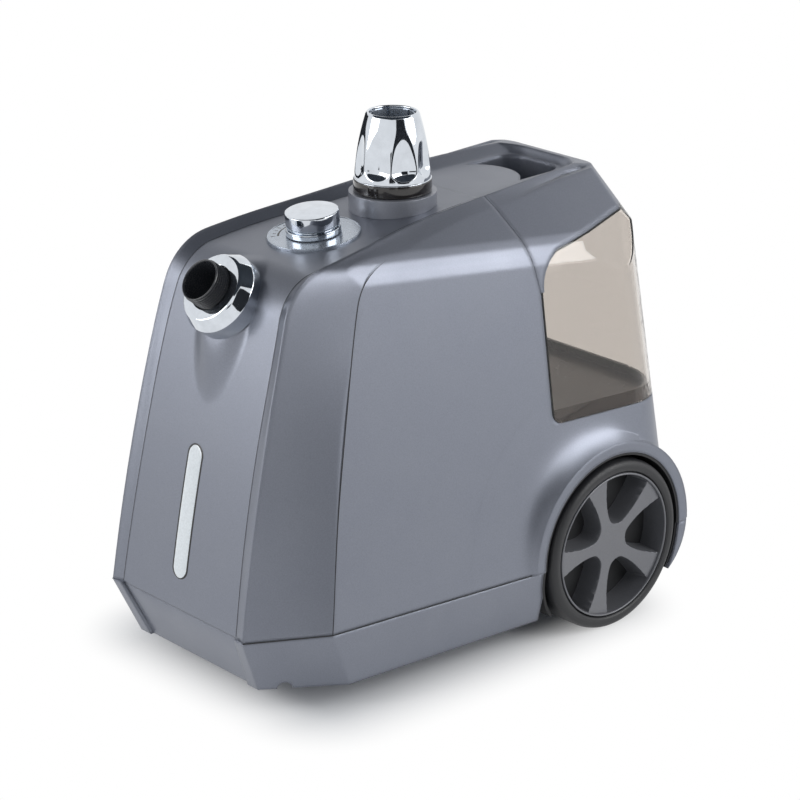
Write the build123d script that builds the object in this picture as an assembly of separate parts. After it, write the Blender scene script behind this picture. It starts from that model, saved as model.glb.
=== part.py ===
from build123d import *
from functools import cache
import math
import os

os.makedirs("parts", exist_ok=True)

# All lengths are in millimetres. Sub-parts are drawn with the front towards -Y and
# heights measured from a level 3 mm below the base; save() moves them so that the
# footprint is centred and the wheels stand on z = 0.
origin_back = 82.79
ground_drop = 15.8

# Clearances
moving_gap = 0.4
running_fit = 0.05

# Wall thicknesses
shell_wall = 3.0
tank_wall = 2.5
panel_thick = 2.5

# Rim line of the body seen from the side: (distance behind the axle, height)
rim_foot = (-268.0, 20.0)
rim_front = (-247.8, 134.0)
rim_corner = (-211.5, 271.7)
rim_top = (-94.0, 286.5)
rim_end = (60.0, 294.5)
rim_corner_radius = 40.0
rim_drop = 2.0
seam_z = 43.5

# Side walls lean in towards the top and spread towards the rear
side_half = 98.1
side_from_y = -214.1
side_spread = 0.11
side_lean = 0.155
rear_foot_y = 93.0
rear_lean = 0.043
rear_round = 35.0

# Sloping shoulders between the side walls and the rims
shoulder_point = (54.6, -27.0, 286.4)
shoulder_normal = (1.0, -0.03, 1.161)
shoulder_round = 36.0
shoulder_strips = 3

# Right rim, station by station: share of the rim line, half width at the rim,
# half width at the panel edge, foot of the facet that falls away outside the rim
rim_stations = [
    (0.000, 70.2, 61.3, (101.2, -218.4, 20.0)),
    (0.046, 69.4, 60.3, (98.1, -213.2, 43.5)),
    (0.155, 67.9, 57.8, (90.6, -203.0, 100.0)),
    (0.280, 65.8, 55.8, (82.6, -189.0, 165.0)),
    (0.360, 64.3, 55.0, (76.8, -178.5, 207.0)),
    (0.431, 62.3, 53.2, (72.5, -170.2, 238.0)),
    (0.460, 61.0, 51.8, (71.0, -166.0, 252.0)),
    (0.487, 60.2, 50.8, (70.3, -161.0, 261.0)),
    (0.515, 59.6, 50.4, (69.9, -154.0, 267.5)),
    (0.545, 58.8, 49.8, (68.6, -145.0, 271.5)),
    (0.581, 57.2, 48.6, (66.8, -136.0, 273.3)),
    (0.677, 51.0, 40.5, (63.8, -108.0, 276.5)),
    (0.801, 47.2, 35.0, (57.5, -48.0, 283.5)),
    (0.939, 41.4, 30.0, (47.5, 22.0, 291.0)),
    (1.000, 37.0, 27.0, (43.0, 58.0, 293.0)),
]

# Panel in the channel between the rims, seen from the side like the rim line
panel_foot = (-265.8, 20.0)
panel_front = (-245.6, 134.0)
panel_corner = (-209.3, 266.6)
panel_top = (-94.0, 281.0)
panel_end = (60.0, 289.0)
panel_corner_radius = 36.0

# Base tub: half outline at the bottom and at the seam
base_bottom = 3.0
base_foot_points = [(62.6, -247.2), (96.3, -197.6), (115.5, 85.0)]
base_seam_points = [(69.4, -264.6), (98.1, -213.2), (131.6, 91.1)]
base_front_half = 52.0
base_front_seam_half = 60.3
base_front_sink = 2.6
base_notch_radius = 5.0
base_notch_at = (73.5, -233.5)

# Wheels
axle_y = 24.8
axle_z = 45.4
wheel_radius = 61.2
wheel_face_x = 120.6
wheel_inner_x = 90.0
tyre_bead_radius = 52.2
tyre_round = 5.0
hub_wall = 4.0
hub_back_x = 97.0
hub_back_thick = 3.5
hub_boss_radius = 13.0
hub_boss_inner_x = 89.1
spoke_count = 5
spoke_first_angle = 38.0
spoke_outer_x = 117.0
spoke_thick = 10.0
spoke_waist_half = 5.0
spoke_rim_half = 10.5
axle_radius = 4.0
axle_end_x = 105.0
axle_clip_radius = 8.0
axle_clip_thick = 1.6

# Wheel arches: flat lip round the wheel, a soft flare above it, a fender behind
arch_radius = 74.2
arch_face_x = 118.6
arch_bend = (113.0, 80.5)
arch_root = (98.0, 126.0)
flare_rear_y = 91.0
flare_corner = 60.0
fender_inner_x = 84.0
fender_tip = (54.9, 43.5)
well_radius = 64.2
well_wall = 2.0
well_inner_x = 82.0
well_boss_radius = 10.0
well_front_y = -37.0
well_front_z = 27.0

# Tank bay: upright wall in front of the tank and its floor
bay_wall_y = -22.5
bay_floor_z = 141.0
bay_corner = 8.0
bay_kink_z = 230.0
bay_top = (-36.2, 300.0)

# Tank cover: lower edge seen from the side
cover_tip_z = 231.0
cover_tip_y = -19.5
cover_bend = (-13.0, 250.0)
cover_edge = (-4.0, 256.8)
cover_edge_rise = 0.188
hollow_half = 27.0
hollow_front_y = 18.1
hollow_lip_y = 32.0
hollow_rear_y = 62.5
hollow_floor_z = 270.0
hollow_round = 16.0
channel_end_y = 69.0
channel_end_half = 38.0
channel_mouth_half = 62.0
channel_mouth_y = -60.0
channel_end_round = 26.0
channel_end_z = 294.0
channel_end_slope = 0.8

# Tank floor and filler valve
tank_floor_thick = 3.0
# Upper half of the tank: a facet leans in on each side, and a cap draws in to the rear.
# The cap is given low and high as half width, rear and height, with its corner's radius.
tank_facet_point = (88.1, -1.0, 259.6)
tank_facet_normal = (1.0, 0.087, 0.539)
cap_low = (123.0, 86.8, 232.0)
cap_low_round = 35.0
cap_high = (47.5, 73.5, 297.0)
cap_high_round = 18.0
tank_floor_rim = 6.0
valve_y = 35.0
cap_radius = 18.0
cap_wall = 2.5
cap_bottom_z = 128.5
cap_bridge_z = 138.4
cap_bridge_thick = 2.0
cap_hole_radius = 4.0
stem_radius = 2.5
stem_bottom_z = 127.2
stem_top_z = 139.6
valve_disc_radius = 9.0
valve_disc_thick = 2.0
valve_seal_thick = 1.0
spring_radius = 5.0
spring_wire = 0.5
floor_hole_radius = 14.0

# Tank seat below the bay floor
seat_radius = 24.0
seat_wall = 2.5
seat_floor_z = 122.0
seat_seal_thick = 3.0
seat_seal_z = 134.0
seat_pipe_radius = 4.2
seat_pipe_z = 126.5
seat_pipe_length = 14.0
tube_wall = 1.8

# Hose outlet: mouth centre and the tilt of its axis above level
spigot_mouth = (0.0, -238.17, 265.07)
spigot_tilt = 37.6
spigot_radius = 14.36
spigot_bore = 10.5
thread_depth = 0.9
thread_pitch = 2.4
thread_count = 4
collar_front = 11.8
collar_base = 20.35
collar_front_radius = 23.8
collar_base_radius = 27.9
collar_bore = 16.5
swell_spread = 7.0
swell_depth = 26.0
swell_tail_z = 212.0
swell_tail = (24.0, 6.0, 42.0)
spigot_tail = 50.0
spigot_tail_radius = 8.0
steam_bore = 5.2

# Dial plate, knob and switch
dial_centre = (0.0, -143.05, 277.04)
dial_tilt = 6.4
dial_radius = 31.0
dial_thick = 2.2
knob_radius = 18.3
knob_skirt_top = 4.6
knob_groove = 1.0
knob_groove_radius = 16.0
knob_top = 15.5
knob_edge = 2.0
shaft_radius = 3.0
shaft_depth = 18.0
switch_bush_radius = 6.0
switch_size = 27.0
switch_depth = 10.0
switch_height = 14.0

# Pole socket, ring, lock nut and collet
pole_y = -73.9
pole_bore = 14.2
pole_tube_radius = 18.5
pole_tube_bottom = 205.0
pole_tube_floor = 3.0
pole_tube_top = 322.0
ring_radius = 29.6
ring_inner = 20.4
ring_top = 293.0
ring_foot = 279.0
nut_top = 347.0
nut_flange_radius = 27.5
nut_flange_top = 298.0
nut_base_radius = 25.6
nut_mouth_radius = 17.2
nut_mouth_bore = 15.6
nut_bore_top = 325.0
nut_cone_top = 339.0
flute_count = 8
flute_radius = 11.6
flute_axis = 32.5
flute_low = 311.0
flute_foot = 0.65
flute_phase = 22.5
collet_bottom = 324.2
collet_top = 345.0
collet_slots = 6
collet_slot_width = 1.8

# Light window
window_half = 5.0
window_low = 64.3
window_high = 154.2
window_frame = 1.2
lamp_half = 10.0
lamp_margin = 6.0
lamp_back_y = -226.0
lamp_board_thick = 1.6

# Boiler and the pieces on it
boiler_y = -165.0
boiler_radius = 56.0
boiler_bottom = 18.0
boiler_top = 72.0
boiler_wall = 4.0
gasket_thick = 1.5
lid_thick = 9.0
heater_radius = 36.0
heater_half = 4.0
heater_thick = 6.0
post_radius = 5.0
post_ring = 62.0
lug_thick = 6.0
lug_z = 60.0
screw_head_radius = 3.5
screw_head = 2.5
screw_shank = 1.75
screw_clear = 0.1
screw_length = 14.0
steam_pipe_y = -150.0
steam_pipe_radius = 8.0
steam_pipe_height = 12.0
thermostat_radius = 10.0
thermostat_height = 8.0
fuse_radius = 3.0
fuse_length = 22.0
gauge_x = 32.0
inlet_z = 52.0
inlet_length = 12.0

# Axle bearers, terminal block, cord gland, feet
bearer_x = 68.0
bearer_half_x = 6.0
bearer_half_y = 14.0
bearer_top = 57.0
terminal_at = (0.0, -70.0)
terminal_size = (36.0, 18.0, 16.0)
gland_x = 0.0
gland_z = 24.0
gland_radius = 7.0
gland_bore = 4.0
gland_flange = 10.5
gland_in = 12.0
foot_at = (45.0, -184.0)
foot_radius = 12.0
foot_tread_radius = 9.0

CENTRE_LOW = (Align.CENTER, Align.CENTER, Align.MIN)
floor_z = base_bottom + shell_wall
screw_hole = screw_shank + screw_clear


def save(name, shape):
    export_step(Pos(0, origin_back, ground_drop) * shape, "parts/" + name + ".step")


def rod(x, y, z0, z1, radius):
    """Upright cylinder."""
    return Pos(x, y, z0) * Cylinder(radius, z1 - z0, align=CENTRE_LOW)


def rod_x(x0, x1, y, z, radius):
    """Cylinder along X."""
    return Pos(x0, y, z) * Rot(0, 90, 0) * Cylinder(radius, x1 - x0, align=CENTRE_LOW)


def rod_y(x, y0, y1, z, radius):
    """Cylinder along Y."""
    return Pos(x, y0, z) * Rot(-90, 0, 0) * Cylinder(radius, y1 - y0, align=CENTRE_LOW)


def block(x0, x1, y0, y1, z0, z1):
    """Box from its limits."""
    size = Box(x1 - x0, y1 - y0, z1 - z0)
    return Pos((x0 + x1) / 2, (y0 + y1) / 2, (z0 + z1) / 2) * size


def other_side(shape):
    return mirror(shape, about=Plane.YZ)


def both_sides(shape):
    return shape + other_side(shape)


def turned(points, axis=Axis.Z):
    """Solid of revolution from (radius, height) points."""
    return revolve(Plane.XZ * make_face(Polyline(*points, close=True)), axis)


def side_x(y, z):
    """Half width of the side wall."""
    return side_half + side_spread * (y - side_from_y) - side_lean * (z - seam_z)


def rear_y(z):
    return rear_foot_y - rear_lean * z


def bent_line(foot, front, corner, top, end, radius):
    """Front arc and top arc joined by a rounded corner, drawn as (y, z)."""
    rise = ThreePointArc(foot, front, corner)
    run = ThreePointArc(corner, top, end)
    line = Wire([rise.edge(), run.edge()])
    bend = line.vertices().sort_by_distance((*corner, 0))[0]
    return line.fillet_2d(radius, [bend])


def rim_line():
    return bent_line(rim_foot, rim_front, rim_corner, rim_top, rim_end, rim_corner_radius)


def panel_line():
    return bent_line(panel_foot, panel_front, panel_corner, panel_top, panel_end, panel_corner_radius)


def under_panel(depth):
    """Everything below the panel face, moved inward by the depth."""
    far = 110.0
    rest = Polyline(panel_end, (far, panel_end[1]), (far, -30), (panel_foot[0], -30), panel_foot)
    face = make_face(Wire(panel_line().edges() + rest.edges()))
    if depth:
        face = offset(face, -depth, kind=Kind.INTERSECTION)
    return extrude(Plane.YZ * face, 150, both=True)


def profile_prism(inset):
    """Side profile of the body carried across the width."""
    drop_z = rim_end[1] - rim_drop
    rest = Polyline(rim_end, (rear_y(drop_z), drop_z), (rear_y(rim_foot[1]), rim_foot[1]), rim_foot)
    face = make_face(Wire(rim_line().edges() + rest.edges()))
    if inset:
        face = offset(face, -inset, kind=Kind.INTERSECTION)
    return extrude(Plane.YZ * face, 170, both=True)


def plan_outline(z, inset):
    """Plan section of the walls: sides and rear with rounded corners."""
    front_y = -330.0
    half_front = side_x(front_y, z) - inset
    half_rear = side_x(rear_y(z), z) - inset
    back = rear_y(z) - inset
    points = [(-half_front, front_y), (half_front, front_y), (half_rear, back), (-half_rear, back)]
    face = make_face(Polyline(*points, close=True))
    corners = face.vertices().sort_by(Axis.Y)[-2:]
    return Pos(0, 0, z) * fillet(corners, rear_round - inset)


def shoulder_planes():
    """Right shoulder plane, and the strips that round its edge with the side wall.

    Each strip touches a cylinder that also touches the wall and the shoulder.
    """
    slope = Vector(*shoulder_normal).normalized()
    wall = Vector(1.0, -side_spread, side_lean).normalized()
    near = Vector(side_x(0.0, 0.0), 0.0, 0.0).dot(wall) - shoulder_round
    high = Vector(*shoulder_point).dot(slope) - shoulder_round
    spread = wall.X * slope.Z - wall.Z * slope.X
    axis_x = (near * slope.Z - high * wall.Z) / spread
    axis_z = (high * wall.X - near * slope.X) / spread
    planes = [Plane(origin=shoulder_point, z_dir=shoulder_normal)]
    for step in range(shoulder_strips):
        share = (step + 1) / (shoulder_strips + 1)
        turn = (wall * (1 - share) + slope * share).normalized()
        planes.append(Plane(origin=Vector(axis_x, 0.0, axis_z) + turn * shoulder_round, z_dir=turn))
    return planes


def run_on(points):
    """The same row of points carried on past its end."""
    return points + [points[-1] + (points[-1] - points[-2]) * 0.9]


def rim_points():
    line = rim_line()
    spots = [(half, line.position_at(share)) for share, half, edge, foot in rim_stations]
    return run_on([Vector(half, spot.X, spot.Y) for half, spot in spots])


def edge_points():
    line = panel_line()
    spots = [(edge, line.position_at(share)) for share, half, edge, foot in rim_stations]
    return run_on([Vector(edge, spot.X, spot.Y) for edge, spot in spots])


def foot_points():
    return run_on([Vector(*foot) for share, half, edge, foot in rim_stations])


def outside_of(near, far):
    """Everything to the right of the ruled surface between two point rows."""
    steps = [share for share, half, edge, foot in rim_stations]
    steps = steps + [2 * steps[-1] - steps[-2]]
    first = Edge.make_spline(near, parameters=steps)
    second = Edge.make_spline(far, parameters=steps)
    return Solid.extrude(Face.make_surface_from_curves(first, second), Vector(150, 0, 0))


def facet_cutter():
    """Everything outside the right front facet and rim band."""
    pairs = list(zip(rim_points(), foot_points()))
    outer = [rim + (rim - foot) * 0.5 for rim, foot in pairs]
    inner = [foot + (foot - rim) * 0.35 for rim, foot in pairs]
    return outside_of(outer, inner)


@cache
def core(inset):
    """Body envelope, moved inward by the inset."""
    walls = loft([plan_outline(0.0, inset), plan_outline(320.0, inset)], ruled=True)
    for plane in shoulder_planes():
        cutter = plane.offset(-inset) * Box(900, 900, 250, align=CENTRE_LOW)
        walls = walls - cutter - other_side(cutter)
    body = walls & profile_prism(inset)
    cutter = Pos(-1.15 * inset, 0, 0) * facet_cutter()
    return body - cutter - other_side(cutter)


def soft_flare(inset):
    """Right side wall swelling out towards the lip above the wheel, like a bell."""
    lip = arch_radius - inset
    shift = 0.75 * inset
    face_x = arch_face_x - inset
    bend_x, bend_r = arch_bend[0] - shift, arch_bend[1] - shift
    root_x, root_r = arch_root[0] - shift, arch_root[1] - shift
    curve = ThreePointArc((face_x, lip), (bend_x, bend_r), (root_x, root_r))
    back = [(root_x, root_r), (fender_inner_x, root_r), (fender_inner_x, 0)]
    rest = Polyline(*back, (face_x, 0), (face_x, lip))
    bell = revolve(make_face(Wire(curve.edges() + rest.edges())), Axis.X)
    room = block(0, face_x, -300, flare_rear_y - inset, seam_z, 400)
    corner = room.edges().filter_by(Axis.Z).sort_by(lambda edge: edge.center().X + edge.center().Y)[-1]
    return Pos(0, axle_y, axle_z) * bell & fillet(corner, flare_corner - inset)


def fender(inset):
    """Right drum round the wheel whose flat end is the lip; it tapers to a tip behind the wheel."""
    drum = rod_x(fender_inner_x + inset, arch_face_x - inset, axle_y, axle_z, arch_radius - inset)
    tip_y, tip_radius = fender_tip
    under = block(0, 300, axle_y, 300, -100, axle_z)
    under = under - rod_x(0, 300, tip_y, axle_z, tip_radius - inset)
    front = block(0, 300, -300, axle_y, -100, seam_z)
    return drum - under - front


@cache
def arch_flare(inset):
    return soft_flare(inset) + fender(inset)


def well_space(radius):
    """Room for the right wheel, with an upright front edge near the floor."""
    room = rod_x(well_inner_x, 200, axle_y, axle_z, radius)
    return room + block(well_inner_x, 200, well_front_y, axle_y, -50, well_front_z)


@cache
def bevel_cutter():
    """Everything to the right of the bevel between rim and panel edge."""
    pairs = list(zip(rim_points(), edge_points()))
    outer = [rim + (rim - edge) * 1.2 for rim, edge in pairs]
    inner = [edge + (edge - rim) * 2.8 for rim, edge in pairs]
    return outside_of(outer, inner)


def channel_cut(sink, grow):
    """Channel between the rims, as deep as the panel face plus sink, grown by a wall."""
    room = profile_prism(-12.0) - under_panel(sink + grow)
    cutter = Pos(2.0 * grow, 0, 0) * bevel_cutter()
    return room - cutter - other_side(cutter)


@cache
def channel_skin():
    """Panel lying in the channel, over its whole length."""
    slab = under_panel(0.0) - under_panel(panel_thick)
    slab = slab & block(-80, 80, -300, 80, rim_foot[1] + 5, 300)
    return slab - bevel_cutter() - other_side(bevel_cutter())


def bay(grow):
    """Room for the tank and its cover; grow makes it larger."""
    far_y = 150.0
    points = [(bay_wall_y, bay_floor_z), (bay_wall_y, bay_kink_z), bay_top]
    points += [(far_y, bay_top[1]), (far_y, bay_floor_z)]
    face = offset(make_face(Polyline(*points, close=True)), grow, kind=Kind.INTERSECTION)
    low = face.vertices().sort_by(lambda corner: corner.X + corner.Y)[0]
    face = fillet(low, bay_corner + grow)
    return extrude(Plane.YZ * face, 200, both=True)


def cover_space(drop):
    """Region above the lower edge of the tank cover."""
    far_y = 120.0
    far_z = cover_edge[1] + cover_edge_rise * (far_y - cover_edge[0])
    above = [(far_y, far_z), (far_y, 330), (-60, 330), (-60, cover_tip_z)]
    tip = Polyline(*above, (cover_tip_y, cover_tip_z))
    bend = ThreePointArc((cover_tip_y, cover_tip_z), cover_bend, cover_edge)
    edge = Line(cover_edge, (far_y, far_z))
    face = make_face(Wire(tip.edges() + bend.edges() + edge.edges()))
    return Pos(0, 0, -drop) * extrude(Plane.YZ * face, 200, both=True)


def hollow(grow):
    """Finger hollow in the tank cover: a crescent behind a bowed lip."""
    half = hollow_half + grow
    front = hollow_front_y - grow
    rear = hollow_rear_y + grow
    lip = ThreePointArc((-half, front), (0, hollow_lip_y - grow), (half, front))
    sides = Polyline((half, front), (half, rear), (-half, rear), (-half, front))
    face = make_face(Wire(sides.edges() + lip.edges()))
    face = fillet(face.vertices().group_by(Axis.Y)[-1], hollow_round + grow)
    return Pos(0, 0, hollow_floor_z - grow) * extrude(face, 60)


def channel_end(grow):
    """Rounded end of the channel in the tank cover, with a sloping wall."""
    plans = []
    for rise in (-16.0, 8.0):
        spread = rise * channel_end_slope + grow
        half = channel_end_half + spread
        rear = channel_end_y + spread
        mouth = channel_mouth_half + spread
        points = [(-mouth, channel_mouth_y), (mouth, channel_mouth_y), (half, rear), (-half, rear)]
        face = make_face(Polyline(*points, close=True))
        face = fillet(face.vertices().group_by(Axis.Y)[-1], channel_end_round + spread)
        plans.append(Pos(0, 0, channel_end_z + rise) * face)
    return loft(plans, ruled=True)


def spigot_plane():
    tilt = math.radians(spigot_tilt)
    return Plane(origin=spigot_mouth, x_dir=(1, 0, 0), z_dir=(0, -math.cos(tilt), math.sin(tilt)))


def dial_plane():
    tilt = math.radians(dial_tilt)
    return Plane(origin=dial_centre, x_dir=(1, 0, 0), z_dir=(0, -math.sin(tilt), math.cos(tilt)))


def window_prism(margin):
    """Slot outline of the light window, carried along Y."""
    middle = (window_low + window_high) / 2
    height = window_high - window_low + 2 * margin
    slot = SlotOverall(height, 2 * (window_half + margin), rotation=90)
    return Pos(0, -150, middle) * Rot(90, 0, 0) * extrude(slot, 140)


@cache
def cavity():
    """Hollow inside of the upper shell, open below the seam."""
    inside = core(shell_wall) + both_sides(arch_flare(shell_wall))
    inside = inside & block(-300, 300, -400, 400, seam_z - 5, 400)
    return inside - channel_cut(panel_thick, shell_wall) - bay(shell_wall)


@cache
def upper_shell():
    body = core(0.0) + both_sides(arch_flare(0.0))
    body = body - channel_cut(panel_thick, 0.0) - bay(0.0) - cavity()
    body = body & block(-300, 300, -400, 400, seam_z, 400)
    body = body - both_sides(well_space(well_radius + well_wall))
    body = body - rod(0, pole_y, 240, 330, pole_tube_radius)
    body = body - dial_plane() * Cylinder(switch_bush_radius, 60)
    body = body - spigot_plane() * Pos(0, 0, -collar_base) * Cylinder(spigot_radius, 80)
    body = body - window_prism(-window_frame)
    return body - rod(0, valve_y, bay_floor_z - 10, bay_floor_z + 10, seat_radius)


def base_outline(points, z, inset):
    mirrored = [(-x, y) for x, y in reversed(points)]
    face = make_face(Polyline(*points, *mirrored, close=True))
    corners = face.vertices().sort_by(Axis.Y)[-2:]
    face = fillet(corners, rear_round)
    if inset:
        face = offset(face, -inset, kind=Kind.INTERSECTION)
    return Pos(0, 0, z) * face


def base_solid(inset, low, high):
    """Tub shape between two heights, moved inward by the inset."""
    spread = [base_outline(base_foot_points, low, inset), base_outline(base_seam_points, high, inset)]
    return loft(spread, ruled=True)


def base_front_space():
    """Sunk middle of the base front, between the two ridges."""
    seam_y = base_seam_points[0][1] + base_front_sink
    foot_y = base_foot_points[0][1] + base_front_sink
    seam = [(-base_front_seam_half, -330), (base_front_seam_half, -330)]
    seam += [(base_front_seam_half, seam_y), (-base_front_seam_half, seam_y)]
    foot = [(-base_front_half, -330), (base_front_half, -330)]
    foot += [(base_front_half, foot_y), (-base_front_half, foot_y)]
    lower = Pos(0, 0, base_bottom) * make_face(Polyline(*foot, close=True))
    upper = Pos(0, 0, seam_z) * make_face(Polyline(*seam, close=True))
    return loft([lower, upper], ruled=True)


def post_places():
    spots = []
    for step in range(4):
        angle = math.radians(45 + 90 * step)
        spots.append((post_ring * math.cos(angle), boiler_y + post_ring * math.sin(angle)))
    return spots


def base_tub():
    low_limit = block(-300, 300, -400, 400, base_bottom, seam_z)
    body = base_solid(0.0, base_bottom, seam_z)
    body = body + (both_sides(arch_flare(0.0)) & low_limit)
    room = base_solid(shell_wall, floor_z, seam_z) & block(-300, 300, -400, 400, floor_z, seam_z)
    inner_flare = both_sides(arch_flare(shell_wall)) & block(-300, 300, -400, 400, floor_z, seam_z)
    body = body - room - inner_flare - base_front_space()
    body = body + (base_front_wall() - room)
    body = body - both_sides(well_space(well_radius + well_wall))
    body = body - both_sides(base_notch())
    for x, y in post_places():
        body = body + rod(x, y, floor_z, lug_z, post_radius)
        body = body - rod(x, y, lug_z - screw_length - 2, lug_z + 1, screw_hole)
    return body - rod_y(gland_x, 60, 100, gland_z, gland_radius)


def base_front_wall():
    """Wall behind the sunk middle of the base front."""
    shifted = Pos(0, base_front_sink, 0) * base_solid(0.0, base_bottom, seam_z)
    inner = Pos(0, base_front_sink + shell_wall, 0) * base_solid(0.0, base_bottom, seam_z)
    strip = block(-base_front_seam_half, base_front_seam_half, -330, -235, base_bottom, seam_z)
    return ((shifted - inner) & strip) - base_front_space()


def base_notch():
    """Half-round notch in the lower edge of the front facet."""
    near, far = base_foot_points[0], base_foot_points[1]
    turn = math.degrees(math.atan2(far[1] - near[1], far[0] - near[0])) - 180
    x, y = base_notch_at
    return Pos(x, y, base_bottom) * Rot(0, 0, turn) * Rot(-90, 0, 0) * Cylinder(base_notch_radius, 20)


def wheel_well():
    """Right liner: a round sleeve with an inner wall, open at the foot."""
    end_x = arch_face_x - 2 * moving_gap
    outer = rod_x(well_inner_x, end_x, axle_y, axle_z, well_radius + well_wall)
    inner = rod_x(well_inner_x + well_wall, 200, axle_y, axle_z, well_radius)
    boss_end = hub_boss_inner_x - moving_gap - axle_clip_thick
    boss = rod_x(well_inner_x, boss_end, axle_y, axle_z, well_boss_radius)
    liner = outer - inner + boss - rod_x(0, 200, axle_y, axle_z, axle_radius)
    low = block(0, 200, -200, 200, -50, seam_z)
    kept = base_solid(0.0, base_bottom, seam_z) + fender(well_wall)
    return (liner - low) + (liner & low & kept)


def tyre():
    """Right tyre, drawn on the axle."""
    width = wheel_face_x - wheel_inner_x
    tread = wheel_radius - tyre_bead_radius
    section = Pos(wheel_inner_x + width / 2, tyre_bead_radius + tread / 2) * Rectangle(width, tread)
    outer = section.vertices().sort_by(Axis.Y)[-2:]
    ring = revolve(fillet(outer, tyre_round), Axis.X)
    return Pos(0, axle_y, axle_z) * ring


def spoke():
    """One spoke pointing up, flaring towards the rim."""
    rim = tyre_bead_radius - hub_wall / 2
    points = [(-spoke_waist_half, 0), (-spoke_waist_half, rim * 0.35), (-spoke_rim_half, rim)]
    points += [(spoke_rim_half, rim), (spoke_waist_half, rim * 0.35), (spoke_waist_half, 0)]
    plate = extrude(Plane.YZ * make_face(Polyline(*points, close=True)), spoke_thick)
    return Pos(spoke_outer_x - spoke_thick, 0, 0) * plate


def wheel_hub():
    """Right hub: barrel, back disc, boss and five spokes."""
    bead = tyre_bead_radius
    barrel = rod_x(wheel_inner_x, wheel_face_x, 0, 0, bead)
    barrel = barrel - rod_x(wheel_inner_x - 1, wheel_face_x + 1, 0, 0, bead - hub_wall)
    back = rod_x(hub_back_x, hub_back_x + hub_back_thick, 0, 0, bead - hub_wall / 2)
    boss = rod_x(hub_boss_inner_x, spoke_outer_x - 2, 0, 0, hub_boss_radius)
    hub = barrel + back + boss
    limit = rod_x(wheel_inner_x, wheel_face_x, 0, 0, bead - hub_wall / 2)
    for step in range(spoke_count):
        turn = spoke_first_angle - 90 + step * 360 / spoke_count
        hub = hub + ((Rot(turn, 0, 0) * spoke()) & limit)
    bore = rod_x(hub_boss_inner_x - 1, axle_end_x + 1, 0, 0, axle_radius + running_fit)
    return Pos(0, axle_y, axle_z) * (hub - bore)


def axle():
    return rod_x(-axle_end_x, axle_end_x, axle_y, axle_z, axle_radius)


def axle_clips():
    """Spring washers between the wheel wells and the hubs."""
    end = hub_boss_inner_x - moving_gap
    clip = rod_x(end - axle_clip_thick, end, axle_y, axle_z, axle_clip_radius)
    return both_sides(clip - rod_x(0, 200, axle_y, axle_z, axle_radius))


def axle_bearer():
    """Right bearer carrying the axle on the base floor."""
    x0, x1 = bearer_x - bearer_half_x, bearer_x + bearer_half_x
    body = block(x0, x1, axle_y - bearer_half_y, axle_y + bearer_half_y, floor_z, bearer_top)
    return body - rod_x(0, 200, axle_y, axle_z, axle_radius)


def tank_facet_cutter(inset):
    """Everything outside the right leaning facet of the tank."""
    plane = Plane(origin=tank_facet_point, z_dir=tank_facet_normal).offset(-inset)
    return plane * Box(900, 900, 250, align=CENTRE_LOW)


def cap_outline(size, corner, inset):
    """Plan section of the cap at one height, with rounded rear corners."""
    half, rear, height = size[0] - inset, size[1] - inset, size[2]
    points = [(-half, -100.0), (half, -100.0), (half, rear), (-half, rear)]
    face = make_face(Polyline(*points, close=True))
    corners = face.vertices().sort_by(Axis.Y)[-2:]
    return Pos(0, 0, height) * fillet(corners, corner - inset)


@cache
def tank_core(inset):
    """Body envelope of the tank and its cover, drawn in towards the top."""
    cap = loft([cap_outline(cap_low, cap_low_round, inset), cap_outline(cap_high, cap_high_round, inset)], ruled=True)
    shaved = block(-200, 200, 20, 150, cap_low[2], cap_high[2]) - cap
    cutter = tank_facet_cutter(inset)
    return core(inset) - cutter - other_side(cutter) - shaved


def tank_floor_slab(inset, low, high):
    slab = block(-200, 200, bay_wall_y + moving_gap + inset, 200, low, high)
    return core(inset) & slab & bay(-moving_gap)


def tank_shell():
    """Smoke tinted tank wall with a closed top."""
    outer = (tank_core(0.0) & bay(-moving_gap)) - cover_space(0.0)
    inner_front = block(-200, 200, bay_wall_y + moving_gap + tank_wall, 200, 100, 330)
    inner = (tank_core(tank_wall) & inner_front) - cover_space(tank_wall)
    return outer - inner


def tank_floor():
    low = bay_floor_z + moving_gap
    plate = tank_floor_slab(tank_wall, low, low + tank_floor_thick)
    rim = tank_floor_slab(tank_wall, low, low + tank_floor_thick + tank_floor_rim)
    rim = rim - tank_floor_slab(2 * tank_wall, low, low + 30)
    return plate + rim - rod(0, valve_y, low - 1, low + 30, floor_hole_radius)


def tank_cover():
    """Cover with rims, channel and finger hollow, open below."""
    outer = tank_core(0.0) & bay(-moving_gap) & cover_space(0.0)
    outer = outer - (channel_cut(0.0, 0.0) & channel_end(0.0)) - hollow(0.0)
    inner = tank_core(tank_wall) & bay(-moving_gap - tank_wall) & cover_space(0.0)
    inner = inner - (channel_cut(0.0, tank_wall) & channel_end(tank_wall)) - hollow(tank_wall)
    return outer - inner


def filler_cap():
    """Screw cap under the tank floor with the valve seat and a bridge."""
    top = bay_floor_z + moving_gap
    seat_top = cap_bottom_z + cap_wall
    cap = rod(0, valve_y, cap_bottom_z, top, cap_radius)
    cap = cap - rod(0, valve_y, seat_top, top + 1, cap_radius - cap_wall)
    cap = cap - rod(0, valve_y, cap_bottom_z - 1, top, cap_hole_radius)
    half = 3.5
    reach = cap_radius - cap_wall / 2
    bridge_top = cap_bridge_z + cap_bridge_thick
    bridge = block(-reach, reach, valve_y - half, valve_y + half, cap_bridge_z, bridge_top)
    return cap + (bridge - rod(0, valve_y, 100, 200, stem_radius + moving_gap))


def valve_stem():
    seat_top = cap_bottom_z + cap_wall
    disc_low = seat_top + moving_gap + valve_seal_thick
    disc = rod(0, valve_y, disc_low, disc_low + valve_disc_thick, valve_disc_radius)
    return disc + rod(0, valve_y, stem_bottom_z, stem_top_z, stem_radius)


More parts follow.
